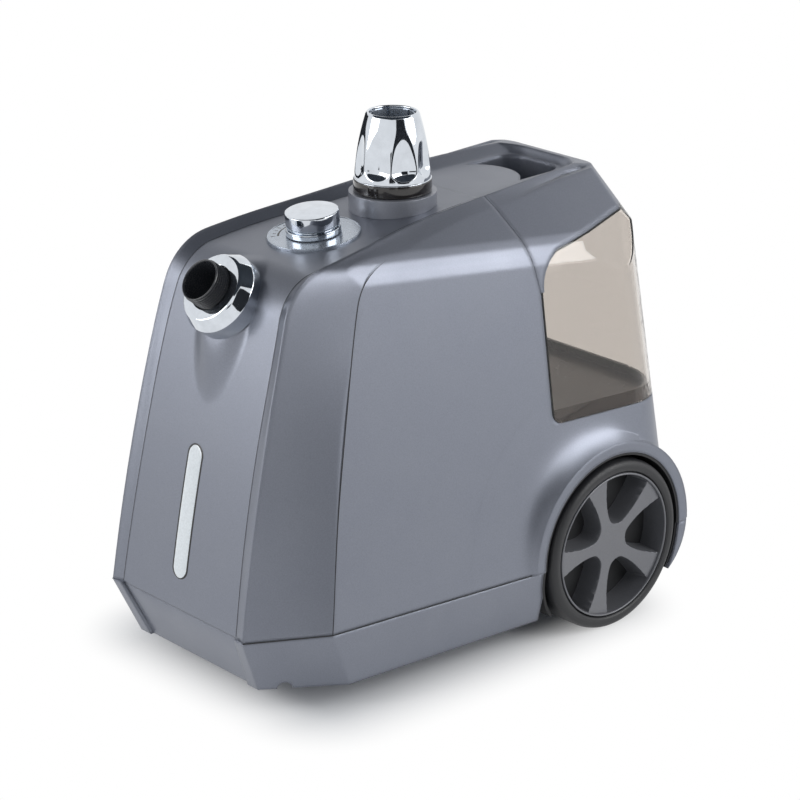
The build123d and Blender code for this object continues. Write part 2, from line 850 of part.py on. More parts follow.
def valve_seal():
    low = cap_bottom_z + cap_wall + moving_gap
    ring = rod(0, valve_y, low, low + valve_seal_thick, valve_disc_radius - 1)
    return ring - rod(0, valve_y, low - 1, low + 5, stem_radius)


def valve_spring():
    seat_top = cap_bottom_z + cap_wall
    low = seat_top + 2 * moving_gap + valve_seal_thick + valve_disc_thick + spring_wire
    high = cap_bridge_z - spring_wire
    path = Helix(pitch=(high - low) / 2, height=high - low, radius=spring_radius)
    start = Plane(origin=path @ 0, z_dir=path % 0)
    return Pos(0, valve_y, low) * sweep(start * Circle(spring_wire), path)


def tank_seat():
    """Cup under the bay floor with a lifting post and a pipe towards the boiler."""
    low = seat_floor_z - seat_wall
    cup = rod(0, valve_y, low, bay_floor_z, seat_radius)
    cup = cup - rod(0, valve_y, seat_floor_z, bay_floor_z + 1, seat_radius - seat_wall)
    post = rod(0, valve_y, low, stem_bottom_z - moving_gap, stem_radius)
    wall_y = valve_y - seat_radius + 1
    pipe = rod_y(0, wall_y - seat_pipe_length, wall_y, seat_pipe_z, seat_pipe_radius)
    bore = rod_y(0, wall_y - 40, valve_y - seat_radius + 5, seat_pipe_z, seat_pipe_radius - tube_wall)
    return cup + post + pipe - bore


def seat_seal():
    outer = seat_radius - seat_wall
    ring = rod(0, valve_y, seat_seal_z, seat_seal_z + seat_seal_thick, outer)
    return ring - rod(0, valve_y, 100, 200, cap_radius + 1.5 * moving_gap)


def soft_tube(points, start_dir, end_dir, outer, inner):
    """Flexible tube along a smooth line."""
    path = Spline(*points, tangents=(start_dir, end_dir))
    section = Plane(origin=path @ 0, z_dir=path % 0) * (Circle(outer) - Circle(inner))
    return sweep(section, path)


def water_tube():
    start_y = valve_y - seat_radius + 1 - seat_pipe_length
    end_y = boiler_y + boiler_radius + inlet_length
    middle = (0, (start_y + end_y) / 2, (seat_pipe_z + inlet_z) / 2)
    points = [(0, start_y, seat_pipe_z), middle, (0, end_y, inlet_z)]
    return soft_tube(points, (0, -1, 0), (0, -1, 0), seat_pipe_radius + 1, seat_pipe_radius - tube_wall)


def steam_tube():
    plane = spigot_plane()
    start = plane.origin - plane.z_dir * (spigot_tail + collar_base)
    end_z = boiler_top + gasket_thick + lid_thick + steam_pipe_height
    end = Vector(0, steam_pipe_y, end_z)
    return soft_tube([start, end], plane.z_dir * -1, (0, 0, -1), spigot_tail_radius, steam_bore)


def boiler_body():
    shell = rod(0, boiler_y, boiler_bottom, boiler_top, boiler_radius)
    room_bottom = boiler_bottom + boiler_wall
    shell = shell - rod(0, boiler_y, room_bottom, boiler_top + 1, boiler_radius - boiler_wall)
    for x, y in post_places():
        lug = rod(x, y, lug_z, lug_z + lug_thick, post_radius + 2)
        shell = shell + (lug - rod(0, boiler_y, 0, 200, boiler_radius - 1))
        shell = shell - rod(x, y, 0, 200, screw_hole)
    wall_y = boiler_y + boiler_radius
    pipe = rod_y(0, wall_y - 1, wall_y + inlet_length, inlet_z, seat_pipe_radius)
    return shell + pipe - rod_y(0, wall_y - 10, wall_y + 30, inlet_z, seat_pipe_radius - tube_wall)


def boiler_gasket():
    ring = rod(0, boiler_y, boiler_top, boiler_top + gasket_thick, boiler_radius)
    return ring - rod(0, boiler_y, 0, 200, boiler_radius - boiler_wall)


def boiler_lid():
    low = boiler_top + gasket_thick
    lid = rod(0, boiler_y, low, low + lid_thick, boiler_radius)
    lid = lid - rod(0, boiler_y, low - 1, low + lid_thick - 3, boiler_radius - boiler_wall)
    pipe_top = low + lid_thick + steam_pipe_height
    pipe = rod(0, steam_pipe_y, low + lid_thick - 3, pipe_top, steam_pipe_radius)
    return lid + pipe - rod(0, steam_pipe_y, 0, 200, steam_bore)


def heater_ring():
    ring = rod(0, boiler_y, boiler_bottom - heater_thick, boiler_bottom, heater_radius + heater_half)
    return ring - rod(0, boiler_y, 0, 200, heater_radius - heater_half)


def lid_top():
    return boiler_top + gasket_thick + lid_thick


def thermostat():
    base = rod(gauge_x, boiler_y, lid_top(), lid_top() + thermostat_height, thermostat_radius)
    pin = rod(gauge_x + 4, boiler_y, lid_top(), lid_top() + thermostat_height + 6, 1.2)
    return base + pin + (Pos(-8, 0, 0) * pin)


def thermal_fuse():
    half = fuse_length / 2
    body = rod_y(-gauge_x, boiler_y - half, boiler_y + half, lid_top() + fuse_radius, fuse_radius)
    foot_top = lid_top() + fuse_radius
    foot = block(-gauge_x - 4, -gauge_x + 4, boiler_y - 6, boiler_y + 6, lid_top(), foot_top)
    return body + foot


def boiler_screws():
    """Four equal screws holding the boiler lugs on the posts."""
    top = lug_z + lug_thick
    head = rod(0, 0, top, top + screw_head, screw_head_radius)
    screw = head + rod(0, 0, lug_z - screw_length, top, screw_shank)
    return Compound([Pos(x, y, 0) * screw for x, y in post_places()])


def channel_panel():
    """Panel in the channel with the swelling under the hose collar."""
    skin = channel_skin() - bay(0.0)
    skin = skin & block(-300, 300, -400, 400, seam_z, 400)
    plane = spigot_plane()
    low_radius = collar_base_radius + swell_spread
    cone = Cone(low_radius, collar_base_radius + 1, swell_depth, align=CENTRE_LOW)
    swell = plane * Pos(0, 0, -collar_base - swell_depth) * cone
    share = (swell_tail_z - rim_front[1]) / (rim_corner[1] - rim_front[1])
    tail_y = rim_front[0] + (rim_corner[0] - rim_front[0]) * share
    lean = math.degrees(math.atan2(rim_corner[0] - rim_front[0], rim_corner[1] - rim_front[1]))
    tail = Pos(0, tail_y + 2, swell_tail_z) * Rot(-lean, 0, 0) * scale(Sphere(1.0), by=swell_tail)
    swell = (swell + tail) - cavity() - upper_shell()
    swell = swell & block(-100, 100, -400, -190, 120, 330)
    panel = skin + swell.solids().sort_by(SortBy.VOLUME)[-1]
    panel = panel - rod(0, pole_y, 240, 330, pole_tube_radius)
    panel = panel - dial_plane() * Cylinder(switch_bush_radius, 60)
    panel = panel - dial_plane() * Pos(0, 0, -dial_thick) * Cylinder(dial_radius, 20, align=CENTRE_LOW)
    panel = panel - plane * Pos(0, 0, -collar_base) * Cylinder(spigot_radius, 120)
    return panel - window_prism(0.0)


def light_window():
    return (channel_skin() & window_prism(0.0)) & block(-300, 300, -400, 400, seam_z, 400)


def light_housing():
    """Light box seated on the inside of the shell behind the window."""
    low = window_low - lamp_margin
    high = window_high + lamp_margin
    box = block(-lamp_half, lamp_half, -300, lamp_back_y, low, high) & cavity()
    return box - window_prism(-window_frame)


def light_board():
    low = window_low - lamp_margin
    high = window_high + lamp_margin
    return block(-lamp_half, lamp_half, lamp_back_y, lamp_back_y + lamp_board_thick, low, high)


def hose_collar():
    """Chrome collar around the spigot."""
    front = -collar_front
    base = -collar_base
    points = [(collar_bore, front), (collar_front_radius - 1, front), (collar_front_radius, front - 1)]
    points += [(collar_base_radius, base), (collar_bore + 3, base)]
    points += [(collar_bore + 3, base + 4), (collar_bore, base + 5)]
    return spigot_plane() * turned(points)


def hose_spigot():
    """Threaded spigot with a flange held by the collar and a narrow tail."""
    root = spigot_radius - thread_depth
    flange = -collar_base
    end = flange - spigot_tail
    points = [(spigot_bore, 0), (root, 0)]
    for turn in range(thread_count):
        top = -1.0 - turn * thread_pitch
        points += [(root, top), (spigot_radius, top - 0.5)]
        points += [(spigot_radius, top - 1.1), (root, top - 1.6)]
    points += [(root, flange + 4), (collar_bore + 2, flange + 4), (collar_bore + 2, flange)]
    points += [(spigot_radius, flange), (spigot_radius, flange - 26), (spigot_tail_radius, flange - 30)]
    points += [(spigot_tail_radius, end), (steam_bore, end)]
    points += [(steam_bore, flange - 26), (spigot_bore, flange - 20)]
    return spigot_plane() * turned(points)


def dial_plate():
    disc = Pos(0, 0, -dial_thick) * Cylinder(dial_radius, dial_thick, align=CENTRE_LOW)
    return dial_plane() * (disc - Cylinder(shaft_radius + 2 * moving_gap, 60))


def knob_skirt():
    points = [(0, moving_gap), (knob_radius - 0.6, moving_gap), (knob_radius, moving_gap + 0.6)]
    points += [(knob_radius, knob_skirt_top - 1), (knob_radius - 1, knob_skirt_top)]
    points += [(knob_groove_radius, knob_skirt_top)]
    points += [(knob_groove_radius, knob_skirt_top + knob_groove), (0, knob_skirt_top + knob_groove)]
    return dial_plane() * turned(points)


def knob_cap():
    low = knob_skirt_top + knob_groove
    points = [(0, low), (knob_radius - 1, low), (knob_radius - 0.4, low + 0.6)]
    points += [(knob_radius - 0.4, knob_top - knob_edge), (knob_radius - knob_edge, knob_top)]
    points += [(0, knob_top + 0.3)]
    return dial_plane() * turned(points)


def knob_shaft():
    length = shaft_depth + moving_gap
    return dial_plane() * Pos(0, 0, -shaft_depth) * Cylinder(shaft_radius, length, align=CENTRE_LOW)


def rotary_switch():
    """Switch under the panel; its bush reaches up to the dial plate."""
    top = -switch_depth
    box = Box(switch_size, switch_size, switch_height, align=CENTRE_LOW)
    box = Pos(0, 0, top - switch_height) * box
    bush = Pos(0, 0, top) * Cylinder(switch_bush_radius, switch_depth - dial_thick, align=CENTRE_LOW)
    depth = shaft_depth + moving_gap
    bore = Pos(0, 0, -depth) * Cylinder(shaft_radius + running_fit, depth, align=CENTRE_LOW)
    return dial_plane() * (box + bush - bore)


def pole_ring():
    ring = rod(0, pole_y, ring_foot, ring_top, ring_radius) - rod(0, pole_y, 200, 400, ring_inner)
    ring = ring - upper_shell() - channel_panel()
    return ring.solids().sort_by(Axis.Z)[-1]


def pole_tube():
    """Closed socket for the pole, gripped by the ring."""
    tube = rod(0, pole_y, pole_tube_bottom, pole_tube_top, pole_tube_radius)
    tube = tube + rod(0, pole_y, ring_top - 6, ring_top, ring_inner)
    return tube - rod(0, pole_y, pole_tube_bottom + pole_tube_floor, 400, pole_bore)


def nut_wall():
    """Outer line of the lock nut, from the foot to the mouth."""
    low = ring_top + moving_gap
    start = (nut_base_radius, nut_flange_top)
    middle = (nut_base_radius - 1.6, (nut_flange_top + nut_top) / 2)
    end = (nut_mouth_radius + 1, nut_top - 1)
    foot = Polyline((nut_flange_radius, low), (nut_flange_radius, nut_flange_top - 1), start)
    return foot.edges() + ThreePointArc(start, middle, end).edges()


def lock_nut():
    """Fluted nut round the collet."""
    low = ring_top + moving_gap
    bore = pole_tube_radius + moving_gap
    end = (nut_mouth_radius + 1, nut_top - 1)
    mouth = (nut_mouth_bore, nut_cone_top)
    inside = Polyline(end, (nut_mouth_radius, nut_top), (nut_mouth_bore, nut_top), mouth)
    inside2 = Polyline(mouth, (bore, nut_bore_top), (bore, low), (nut_flange_radius, low))
    face = make_face(Wire(nut_wall() + inside.edges() + inside2.edges()))
    nut = revolve(Plane.XZ * face, Axis.Z)
    scoop = Cylinder(flute_radius, 60, align=CENTRE_LOW) + scale(Sphere(flute_radius), by=(1, 1, flute_foot))
    scoop = Pos(0, -flute_axis, flute_low) * scoop
    for step in range(flute_count):
        nut = nut - Rot(0, 0, flute_phase + step * 360 / flute_count) * scoop
    return Pos(0, pole_y, 0) * nut


def collet():
    """Slotted sleeve that grips the pole."""
    shoulder = pole_tube_radius - 0.4
    neck = nut_mouth_bore - moving_gap
    cone_low = nut_bore_top + 0.2
    cone_high = nut_cone_top - 0.8
    points = [(pole_bore, collet_bottom), (shoulder, collet_bottom), (shoulder, cone_low)]
    points += [(neck, cone_high), (neck, collet_top), (pole_bore, collet_top)]
    sleeve = turned(points)
    for step in range(collet_slots):
        half = collet_slot_width / 2
        slot = block(-half, half, 0, 40, collet_bottom + 4, collet_top + 1)
        sleeve = sleeve - Rot(0, 0, step * 360 / collet_slots) * slot
    return Pos(0, pole_y, 0) * sleeve


def terminal_block():
    x, y = terminal_at
    length, width, height = terminal_size
    body = block(x - length / 2, x + length / 2, y - width / 2, y + width / 2, floor_z, floor_z + height)
    for step in range(3):
        spot = x - length / 3 + step * length / 3
        body = body - rod(spot, y, floor_z + height - 8, floor_z + height + 1, 3)
    return body


def cord_gland():
    """Bush for the supply cord in the rear wall."""
    outside = base_foot_points[2][1] + (base_seam_points[2][1] - base_foot_points[2][1]) * 0.85
    sleeve = rod_y(gland_x, outside - gland_in, outside, gland_z, gland_radius)
    flange = rod_y(gland_x, outside - gland_in, outside, gland_z, gland_flange)
    flange = flange - base_solid(0.0, base_bottom, seam_z)
    return sleeve + flange - rod_y(gland_x, 0, 200, gland_z, gland_bore)


def foot(side):
    """Tall rubber foot under the front of the base, narrower at the floor."""
    x, y = foot_at
    cone = Cone(foot_tread_radius, foot_radius, base_bottom + ground_drop, align=CENTRE_LOW)
    return Pos(side * x, y, -ground_drop) * cone


def make_all():
    pieces = {
        "base_tub": base_tub(),
        "upper_shell": upper_shell(),
        "channel_panel": channel_panel(),
        "light_window": light_window(),
        "light_housing": light_housing(),
        "light_board": light_board(),
        "hose_collar": hose_collar(),
        "hose_spigot": hose_spigot(),
        "dial_plate": dial_plate(),
        "knob_skirt": knob_skirt(),
        "knob_cap": knob_cap(),
        "knob_shaft": knob_shaft(),
        "rotary_switch": rotary_switch(),
        "pole_ring": pole_ring(),
        "pole_tube": pole_tube(),
        "lock_nut": lock_nut(),
        "collet": collet(),
        "tank_shell": tank_shell(),
        "tank_floor": tank_floor(),
        "tank_cover": tank_cover(),
        "filler_cap": filler_cap(),
        "valve_stem": valve_stem(),
        "valve_seal": valve_seal(),
        "valve_spring": valve_spring(),
        "tank_seat": tank_seat(),
        "seat_seal": seat_seal(),
        "water_tube": water_tube(),
        "steam_tube": steam_tube(),
        "boiler_body": boiler_body(),
        "boiler_gasket": boiler_gasket(),
        "boiler_lid": boiler_lid(),
        "heater_ring": heater_ring(),
        "thermostat": thermostat(),
        "thermal_fuse": thermal_fuse(),
        "boiler_screws": boiler_screws(),
        "axle": axle(),
        "axle_clips": axle_clips(),
        "axle_bearers": both_sides(axle_bearer()),
        "right_well": wheel_well(),
        "left_well": other_side(wheel_well()),
        "right_tyre": tyre(),
        "left_tyre": other_side(tyre()),
        "right_hub": wheel_hub(),
        "left_hub": other_side(wheel_hub()),
        "terminal_block": terminal_block(),
        "cord_gland": cord_gland(),
        "right_foot": foot(1),
        "left_foot": foot(-1),
    }
    for name, shape in pieces.items():
        save(name, shape)


make_all()
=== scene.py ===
"""Studio picture of a garment steamer's base unit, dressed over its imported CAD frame."""

import logging
import math
from dataclasses import dataclass, replace
from enum import Enum

import bmesh
import bpy
import numpy as np
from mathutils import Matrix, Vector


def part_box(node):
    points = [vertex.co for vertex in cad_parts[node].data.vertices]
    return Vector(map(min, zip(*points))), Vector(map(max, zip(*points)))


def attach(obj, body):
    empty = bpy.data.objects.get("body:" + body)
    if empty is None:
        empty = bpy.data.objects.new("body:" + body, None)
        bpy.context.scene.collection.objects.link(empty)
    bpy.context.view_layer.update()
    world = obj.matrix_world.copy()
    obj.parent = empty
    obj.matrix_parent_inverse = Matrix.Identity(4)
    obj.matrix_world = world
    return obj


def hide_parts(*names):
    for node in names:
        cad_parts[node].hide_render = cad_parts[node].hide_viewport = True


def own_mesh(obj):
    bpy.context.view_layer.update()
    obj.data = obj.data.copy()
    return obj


LOG = logging.getLogger("steamer")

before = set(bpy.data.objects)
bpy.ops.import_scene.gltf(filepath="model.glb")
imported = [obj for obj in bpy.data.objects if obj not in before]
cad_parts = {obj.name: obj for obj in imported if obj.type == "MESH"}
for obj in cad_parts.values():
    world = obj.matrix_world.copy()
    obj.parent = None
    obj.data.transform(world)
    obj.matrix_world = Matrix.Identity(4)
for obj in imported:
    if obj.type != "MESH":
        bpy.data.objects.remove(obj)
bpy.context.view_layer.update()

MM = 0.001
# From the drawing's origin to the frame's, which is the middle of the footprint on the floor.
DRAWING_SHIFT = np.array((0.0, 82.79, 15.8))
# Places in the drawing that several pieces share, in millimetres and degrees.
AXLE_Y = 24.8
AXLE_Z = 45.4
POLE_Y = -73.9
DIAL_CENTRE = (0.0, -143.05, 277.04)
OUTLET_TILT_DEG = 52.4
SEAM_Z = 43.5
# The flat side wall: its half width at one point of the seam, and how it leans in and opens to the rear.
WALL_HALF = 98.1
WALL_Y = -214.1
WALL_OPEN = 0.11
WALL_LEAN = 0.155


def to_frame(points: np.ndarray) -> np.ndarray:
    """Drawing points in millimetres, moved to the frame and given in metres."""
    return (np.asarray(points, float) + DRAWING_SHIFT) * MM


def unit(rows: np.ndarray) -> np.ndarray:
    """Each row of numbers brought to length one."""
    return rows / np.linalg.norm(rows, axis=-1, keepdims=True)


def linear(hex_colour: str) -> tuple[float, float, float, float]:
    """Turn an sRGB hex colour into Blender's linear colour.

    Args:
        hex_colour: six hex digits with a leading #.
    Returns:
        Red, green, blue and alpha, each from 0 to 1.
    """
    parts = np.array([int(hex_colour[i:i + 2], 16) / 255 for i in (1, 3, 5)])
    low = parts / 12.92
    high = ((parts + 0.055) / 1.055) ** 2.4
    mixed = np.where(parts <= 0.04045, low, high)
    return (float(mixed[0]), float(mixed[1]), float(mixed[2]), 1.0)


def add_node(tree: bpy.types.NodeTree, kind: str, inputs: dict | None = None, **settings) -> bpy.types.Node:
    """Add one node with its settings and links.

    Args:
        tree: the material's or world's node tree.
        kind: Blender's name of the node type.
        inputs: socket name or number to a constant, or to the output socket that feeds it.
        settings: the node's own properties.
    Returns:
        The new node.
    """
    made = tree.nodes.new(kind)
    for name, value in settings.items():
        setattr(made, name, value)
    for name, value in (inputs or {}).items():
        if isinstance(value, bpy.types.NodeSocket):
            tree.links.new(value, made.inputs[name])
        else:
            made.inputs[name].default_value = value
    return made


def new_material(name: str) -> tuple[bpy.types.Material, bpy.types.NodeTree, bpy.types.Node]:
    """Start a material with Blender's main shader in it.

    Args:
        name: the material's name.
    Returns:
        The material, its node tree and its main shader.
    """
    made = bpy.data.materials.new(name)
    made.use_nodes = True
    return made, made.node_tree, made.node_tree.nodes["Principled BSDF"]


def add_object(name: str, data: bpy.types.ID) -> bpy.types.Object:
    """Make an object and put it in the scene.

    Args:
        name: the object's name.
        data: its mesh, lamp or camera data.
    Returns:
        The new object.
    """
    made = bpy.data.objects.new(name, data)
    bpy.context.scene.collection.objects.link(made)
    return made


def seen_share(tree: bpy.types.NodeTree) -> bpy.types.NodeSocket:
    """Tell the rays that show white surroundings from those that only bring light.

    Args:
        tree: the material's or world's node tree.
    Returns:
        A socket that is 1 for rays from the camera, off a mirror or through glass, and else 0.
    """
    path = add_node(tree, "ShaderNodeLightPath")
    seen = add_node(tree, "ShaderNodeMath", {
        0: path.outputs["Is Camera Ray"], 1: path.outputs["Is Glossy Ray"]}, operation="MAXIMUM")
    through = add_node(tree, "ShaderNodeMath", {
        0: seen.outputs["Value"], 1: path.outputs["Is Transmission Ray"]}, operation="MAXIMUM")
    return through.outputs["Value"]


class Pattern(Enum):
    """How a surface was made, which sets the pattern of its roughness and bump."""

    MOULDED = "moulded"
    PLATED = "plated"
    RUBBER = "rubber"


@dataclass(frozen=True)
class Finish:
    """One opaque material: its colour, gloss and the pattern its making left."""

    name: str
    colour: str
    shade: str
    pattern: Pattern
    roughness: float
    spread: float = 0.06
    metallic: float = 0.0
    coat: float = 0.0
    grain_mm: float = 1.2
    bump_mm: float = 0.01
    edge_mm: float = 0.0
    patch_mm: float = 42.0
    flake: float = 0.07
    coat_roughness: float = 0.12

    def material(self) -> bpy.types.Material:
        """Make the material once, for every piece that asks.

        Returns:
            The material.
        """
        found = bpy.data.materials.get(self.name)
        if found:
            return found
        made, tree, shader = new_material(self.name)
        place = add_node(tree, "ShaderNodeTexCoord").outputs["Object"]
        fine = self.fine_pattern(tree, place)
        # Slow patches a few centimetres across: uneven gloss where hands and cloths have been.
        patch = add_node(tree, "ShaderNodeTexNoise", {
            "Vector": place, "Scale": 1 / (self.patch_mm * MM), "Detail": 3.0})
        tint = add_node(tree, "ShaderNodeMix", {
            "Factor": patch.outputs["Fac"], 6: linear(self.colour), 7: linear(self.shade)}, data_type="RGBA")
        speck = add_node(tree, "ShaderNodeMapRange", {
            "Value": fine, "From Min": 0.3, "From Max": 0.7, "To Min": 1 - self.flake,
            "To Max": 1 + self.flake})
        flaked = add_node(tree, "ShaderNodeVectorMath", {
            0: tint.outputs[2], "Scale": speck.outputs["Result"]}, operation="SCALE")
        both = add_node(tree, "ShaderNodeMath", {
            0: patch.outputs["Fac"], 1: fine}, operation="MULTIPLY")
        gloss = add_node(tree, "ShaderNodeMapRange", {
            "Value": both.outputs["Value"], "From Min": 0.1, "From Max": 0.45,
            "To Min": self.roughness - self.spread / 2, "To Max": self.roughness + self.spread / 2})
        relief = {"Height": fine, "Strength": 1.0, "Distance": self.bump_mm * MM}
        if self.edge_mm:
            # A moulded edge is never sharp: the shading rolls over it.
            edge = add_node(tree, "ShaderNodeBevel", {"Radius": self.edge_mm * MM}, samples=4)
            relief["Normal"] = edge.outputs["Normal"]
        bump = add_node(tree, "ShaderNodeBump", relief)
        tree.links.new(flaked.outputs["Vector"], shader.inputs["Base Color"])
        tree.links.new(gloss.outputs["Result"], shader.inputs["Roughness"])
        tree.links.new(bump.outputs["Normal"], shader.inputs["Normal"])
        shader.inputs["Metallic"].default_value = self.metallic
        shader.inputs["Coat Weight"].default_value = self.coat
        shader.inputs["Coat Roughness"].default_value = self.coat_roughness
        made.diffuse_color = linear(self.colour)
        return made

    def fine_pattern(self, tree: bpy.types.NodeTree, place: bpy.types.NodeSocket) -> bpy.types.NodeSocket:
        """Add the fine pattern that the surface's making leaves.

        Args:
            tree: the material's node tree.
            place: the object coordinates.
        Returns:
            The socket with the pattern's height from 0 to 1.
        """
        scale = 1 / (self.grain_mm * MM)
        if self.pattern is Pattern.RUBBER:
            pits = add_node(tree, "ShaderNodeTexVoronoi", {"Vector": place, "Scale": scale})
            return pits.outputs["Distance"]
        grain = add_node(tree, "ShaderNodeTexNoise", {
            "Vector": place, "Scale": scale, "Detail": 4.0, "Roughness": 0.6})
        return grain.outputs["Fac"]


@dataclass(frozen=True)
class ClearFinish:
    """A see-through plastic with a tint, faint moulding waves and a few rub marks."""

    name: str
    colour: str
    roughness: float
    wave_mm: float = 30.0
    wave_height_mm: float = 0.06
    rub_mm: float = 14.0
    rub_haze: float = 0.02
    index: float = 1.49

    def material(self) -> bpy.types.Material:
        """Make the material once, for every piece that asks.

        Returns:
            The material.
        """
        found = bpy.data.materials.get(self.name)
        if found:
            return found
        made, tree, shader = new_material(self.name)
        place = add_node(tree, "ShaderNodeTexCoord").outputs["Object"]
        wave = add_node(tree, "ShaderNodeTexNoise", {
            "Vector": place, "Scale": 1 / (self.wave_mm * MM), "Detail": 2.0})
        rub = add_node(tree, "ShaderNodeTexNoise", {
            "Vector": place, "Scale": 1 / (self.rub_mm * MM), "Detail": 3.0, "Roughness": 0.6})
        gloss = add_node(tree, "ShaderNodeMapRange", {
            "Value": rub.outputs["Fac"], "From Min": 0.35, "From Max": 0.75,
            "To Min": self.roughness, "To Max": self.roughness + self.rub_haze})
        bump = add_node(tree, "ShaderNodeBump", {
            "Height": wave.outputs["Fac"], "Strength": 0.3, "Distance": self.wave_height_mm * MM})
        tree.links.new(gloss.outputs["Result"], shader.inputs["Roughness"])
        tree.links.new(bump.outputs["Normal"], shader.inputs["Normal"])
        shader.inputs["Base Color"].default_value = linear(self.colour)
        shader.inputs["Transmission Weight"].default_value = 1.0
        shader.inputs["IOR"].default_value = self.index
        made.diffuse_color = linear(self.colour)
        return made


# The real flake and mould grain are finer: each grain_mm is as coarse as it needs to be to show.
# Painted ABS: a satin metallic lacquer over moulded plastic, so light slides over it softly.
BODY = Finish("satin_metallic_lacquer", "#80848e", "#787c87", Pattern.MOULDED, 0.37, 0.08, 0.72,
              grain_mm=0.9, bump_mm=0.005, edge_mm=4.2)
# The same lacquer on the new skins, whose edges are already round.
SKIN = replace(BODY, name="satin_metallic_lacquer_skin", edge_mm=0.0)
# Mould-grained ABS with metal flake in it, unpainted: an even grey, as on the ring round the pole.
DARK_ABS = Finish("grained_dark_abs", "#989ba4", "#8f929b", Pattern.MOULDED, 0.38, 0.1, 0.5,
                  grain_mm=0.8, bump_mm=0.010, edge_mm=0.8)
# Satin grey ABS with a fine mould grain: a soft, even sheen.
HUB_ABS = Finish("satin_grey_wheel_abs", "#747579", "#6b6c71", Pattern.MOULDED, 0.38, 0.1, 0.35,
                 grain_mm=0.9, bump_mm=0.008)
# Matt black ABS on the wells and dark inner parts; also painted shade: the dark ribbons along the body's gaps
# and the plate at the bottom of the wheel's pockets, so that gaps and pockets read as deep.
BLACK_ABS_AND_PAINTED_SHADE = Finish("matt_black_abs_and_painted_shade", "#1d1e21", "#18191b", Pattern.MOULDED, 0.62, 0.1,
                  grain_mm=1.0, bump_mm=0.015)
# Moulded black nylon: dense black with a dull shine.
BLACK_PA = Finish("moulded_black_nylon", "#131416", "#1b1c1f", Pattern.MOULDED, 0.32, 0.1,
                  grain_mm=0.7, bump_mm=0.006)
# The same nylon painted a shade greyer on the hose thread: painted light, so that the thread's crests show as
# if lit.
NYLON_THREAD_PAINTED_LIGHT = Finish("moulded_nylon_thread_painted_light", "#393b40", "#2e3034", Pattern.MOULDED, 0.27, 0.08,
                   grain_mm=0.7, bump_mm=0.006)
# Polished black ABS: the foot of the nut, which mirrors what stands round it.
GLOSS_BLACK = Finish("polished_black_abs", "#231f1e", "#1d1a19", Pattern.PLATED, 0.1, 0.03, coat=0.5,
                     grain_mm=6.0, bump_mm=0.0002)
# Chrome on plastic: a mirror with the faintest finger haze.
CHROME = Finish("chrome_plated_abs", "#d5dae1", "#ced4db", Pattern.PLATED, 0.05, 0.02, 1.0,
                grain_mm=9.0, bump_mm=0.0002)
# Satin silver plate: a blurred mirror, a shade greyer than the chrome.
SATIN = Finish("satin_silver_plate", "#b5bdc7", "#b0b8c3", Pattern.PLATED, 0.26, 0.05, 0.75,
               grain_mm=1.4, bump_mm=0.0004)
# Milky acrylic: near white and evenly bright, with a thin gloss.
MILKY = Finish("milky_acrylic_diffuser", "#e8edf0", "#dfe5e9", Pattern.MOULDED, 0.18, 0.08,
               grain_mm=1.5, bump_mm=0.002, coat=0.3)
# Moulded rubber: pitted and nearly black, with a broad dull sheen.
RUBBER = Finish("moulded_tyre_rubber", "#1b1c1f", "#232427", Pattern.RUBBER, 0.5, 0.16,
                grain_mm=0.9, bump_mm=0.03)
# Softer seal rubber: flatter still.
SOFT = Finish("soft_seal_rubber", "#222326", "#2a2b2e", Pattern.RUBBER, 0.6, 0.14,
              grain_mm=0.8, bump_mm=0.02)
# Drawn steel: bright, with a slightly uneven gloss.
STEEL = Finish("drawn_steel_bar", "#9b9ea3", "#8b8e93", Pattern.PLATED, 0.28, 0.14, 1.0,
               grain_mm=0.6, bump_mm=0.004)
# Die-cast aluminium: pale grey and grainy.
ALLOY = Finish("die_cast_aluminium", "#a5a7aa", "#94969a", Pattern.MOULDED, 0.48, 0.18, 0.9,
               grain_mm=1.1, bump_mm=0.05)
# Glass-fibre board: green and half matt.
BOARD = Finish("glass_fibre_board", "#2f5a43", "#284f3a", Pattern.MOULDED, 0.4, 0.1,
               grain_mm=0.5, bump_mm=0.01)
# Dark brown moulded plastic, smooth, as it shows through the tank.
BROWN = Finish("moulded_brown_floor", "#45352d", "#382b25", Pattern.MOULDED, 0.3, 0.08,
               grain_mm=2.0, bump_mm=0.002)
# Smoke-tinted SAN: glass-clear, brown where the wall is seen edge on.
SMOKE = ClearFinish("smoke_tinted_san", "#ddd8d3", 0.02)


def dress(finish: Finish | ClearFinish, *nodes: str) -> None:
    """Give CAD nodes a finish through their material slots.

    Args:
        finish: the finish to show.
        nodes: names of the CAD nodes.
    """
    for name in nodes:
        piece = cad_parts[name]
        if not piece.material_slots:
            piece.data.materials.append(None)
        for place in piece.material_slots:
            place.link = "OBJECT"
            place.material = finish.material()
        LOG.info("dressed %s in %s", name, finish.name)


def grid_faces(rows: int, columns: int, wrap_rows: bool, wrap_columns: bool) -> np.ndarray:
    """Number the quads of a grid.

    Args:
        rows: points along the first parameter.
        columns: points along the second parameter.
        wrap_rows: whether the last row meets the first.
        wrap_columns: whether the last column meets the first.
    Returns:
        One row of four point numbers for each quad.
    """
    i, j = np.meshgrid(np.arange(rows if wrap_rows else rows - 1),
                       np.arange(columns if wrap_columns else columns - 1), indexing="ij")
    i2 = (i + 1) % rows
    j2 = (j + 1) % columns
    quads = np.stack((i * columns + j, i2 * columns + j, i2 * columns + j2, i * columns + j2), -1)
    return quads.reshape(-1, 4)


@dataclass
class Surface:
    """One grid of drawing points, with how it closes and which way it faces."""

    points: np.ndarray
    wrap_rows: bool = False
    wrap_columns: bool = False
    flip: bool = False
    keep: np.ndarray | None = None

    def mirrored(self) -> "Surface":
        """The same surface on the other side of the middle plane."""
        return Surface(self.points * np.array((-1.0, 1.0, 1.0)), self.wrap_rows, self.wrap_columns,
                       not self.flip, self.keep)


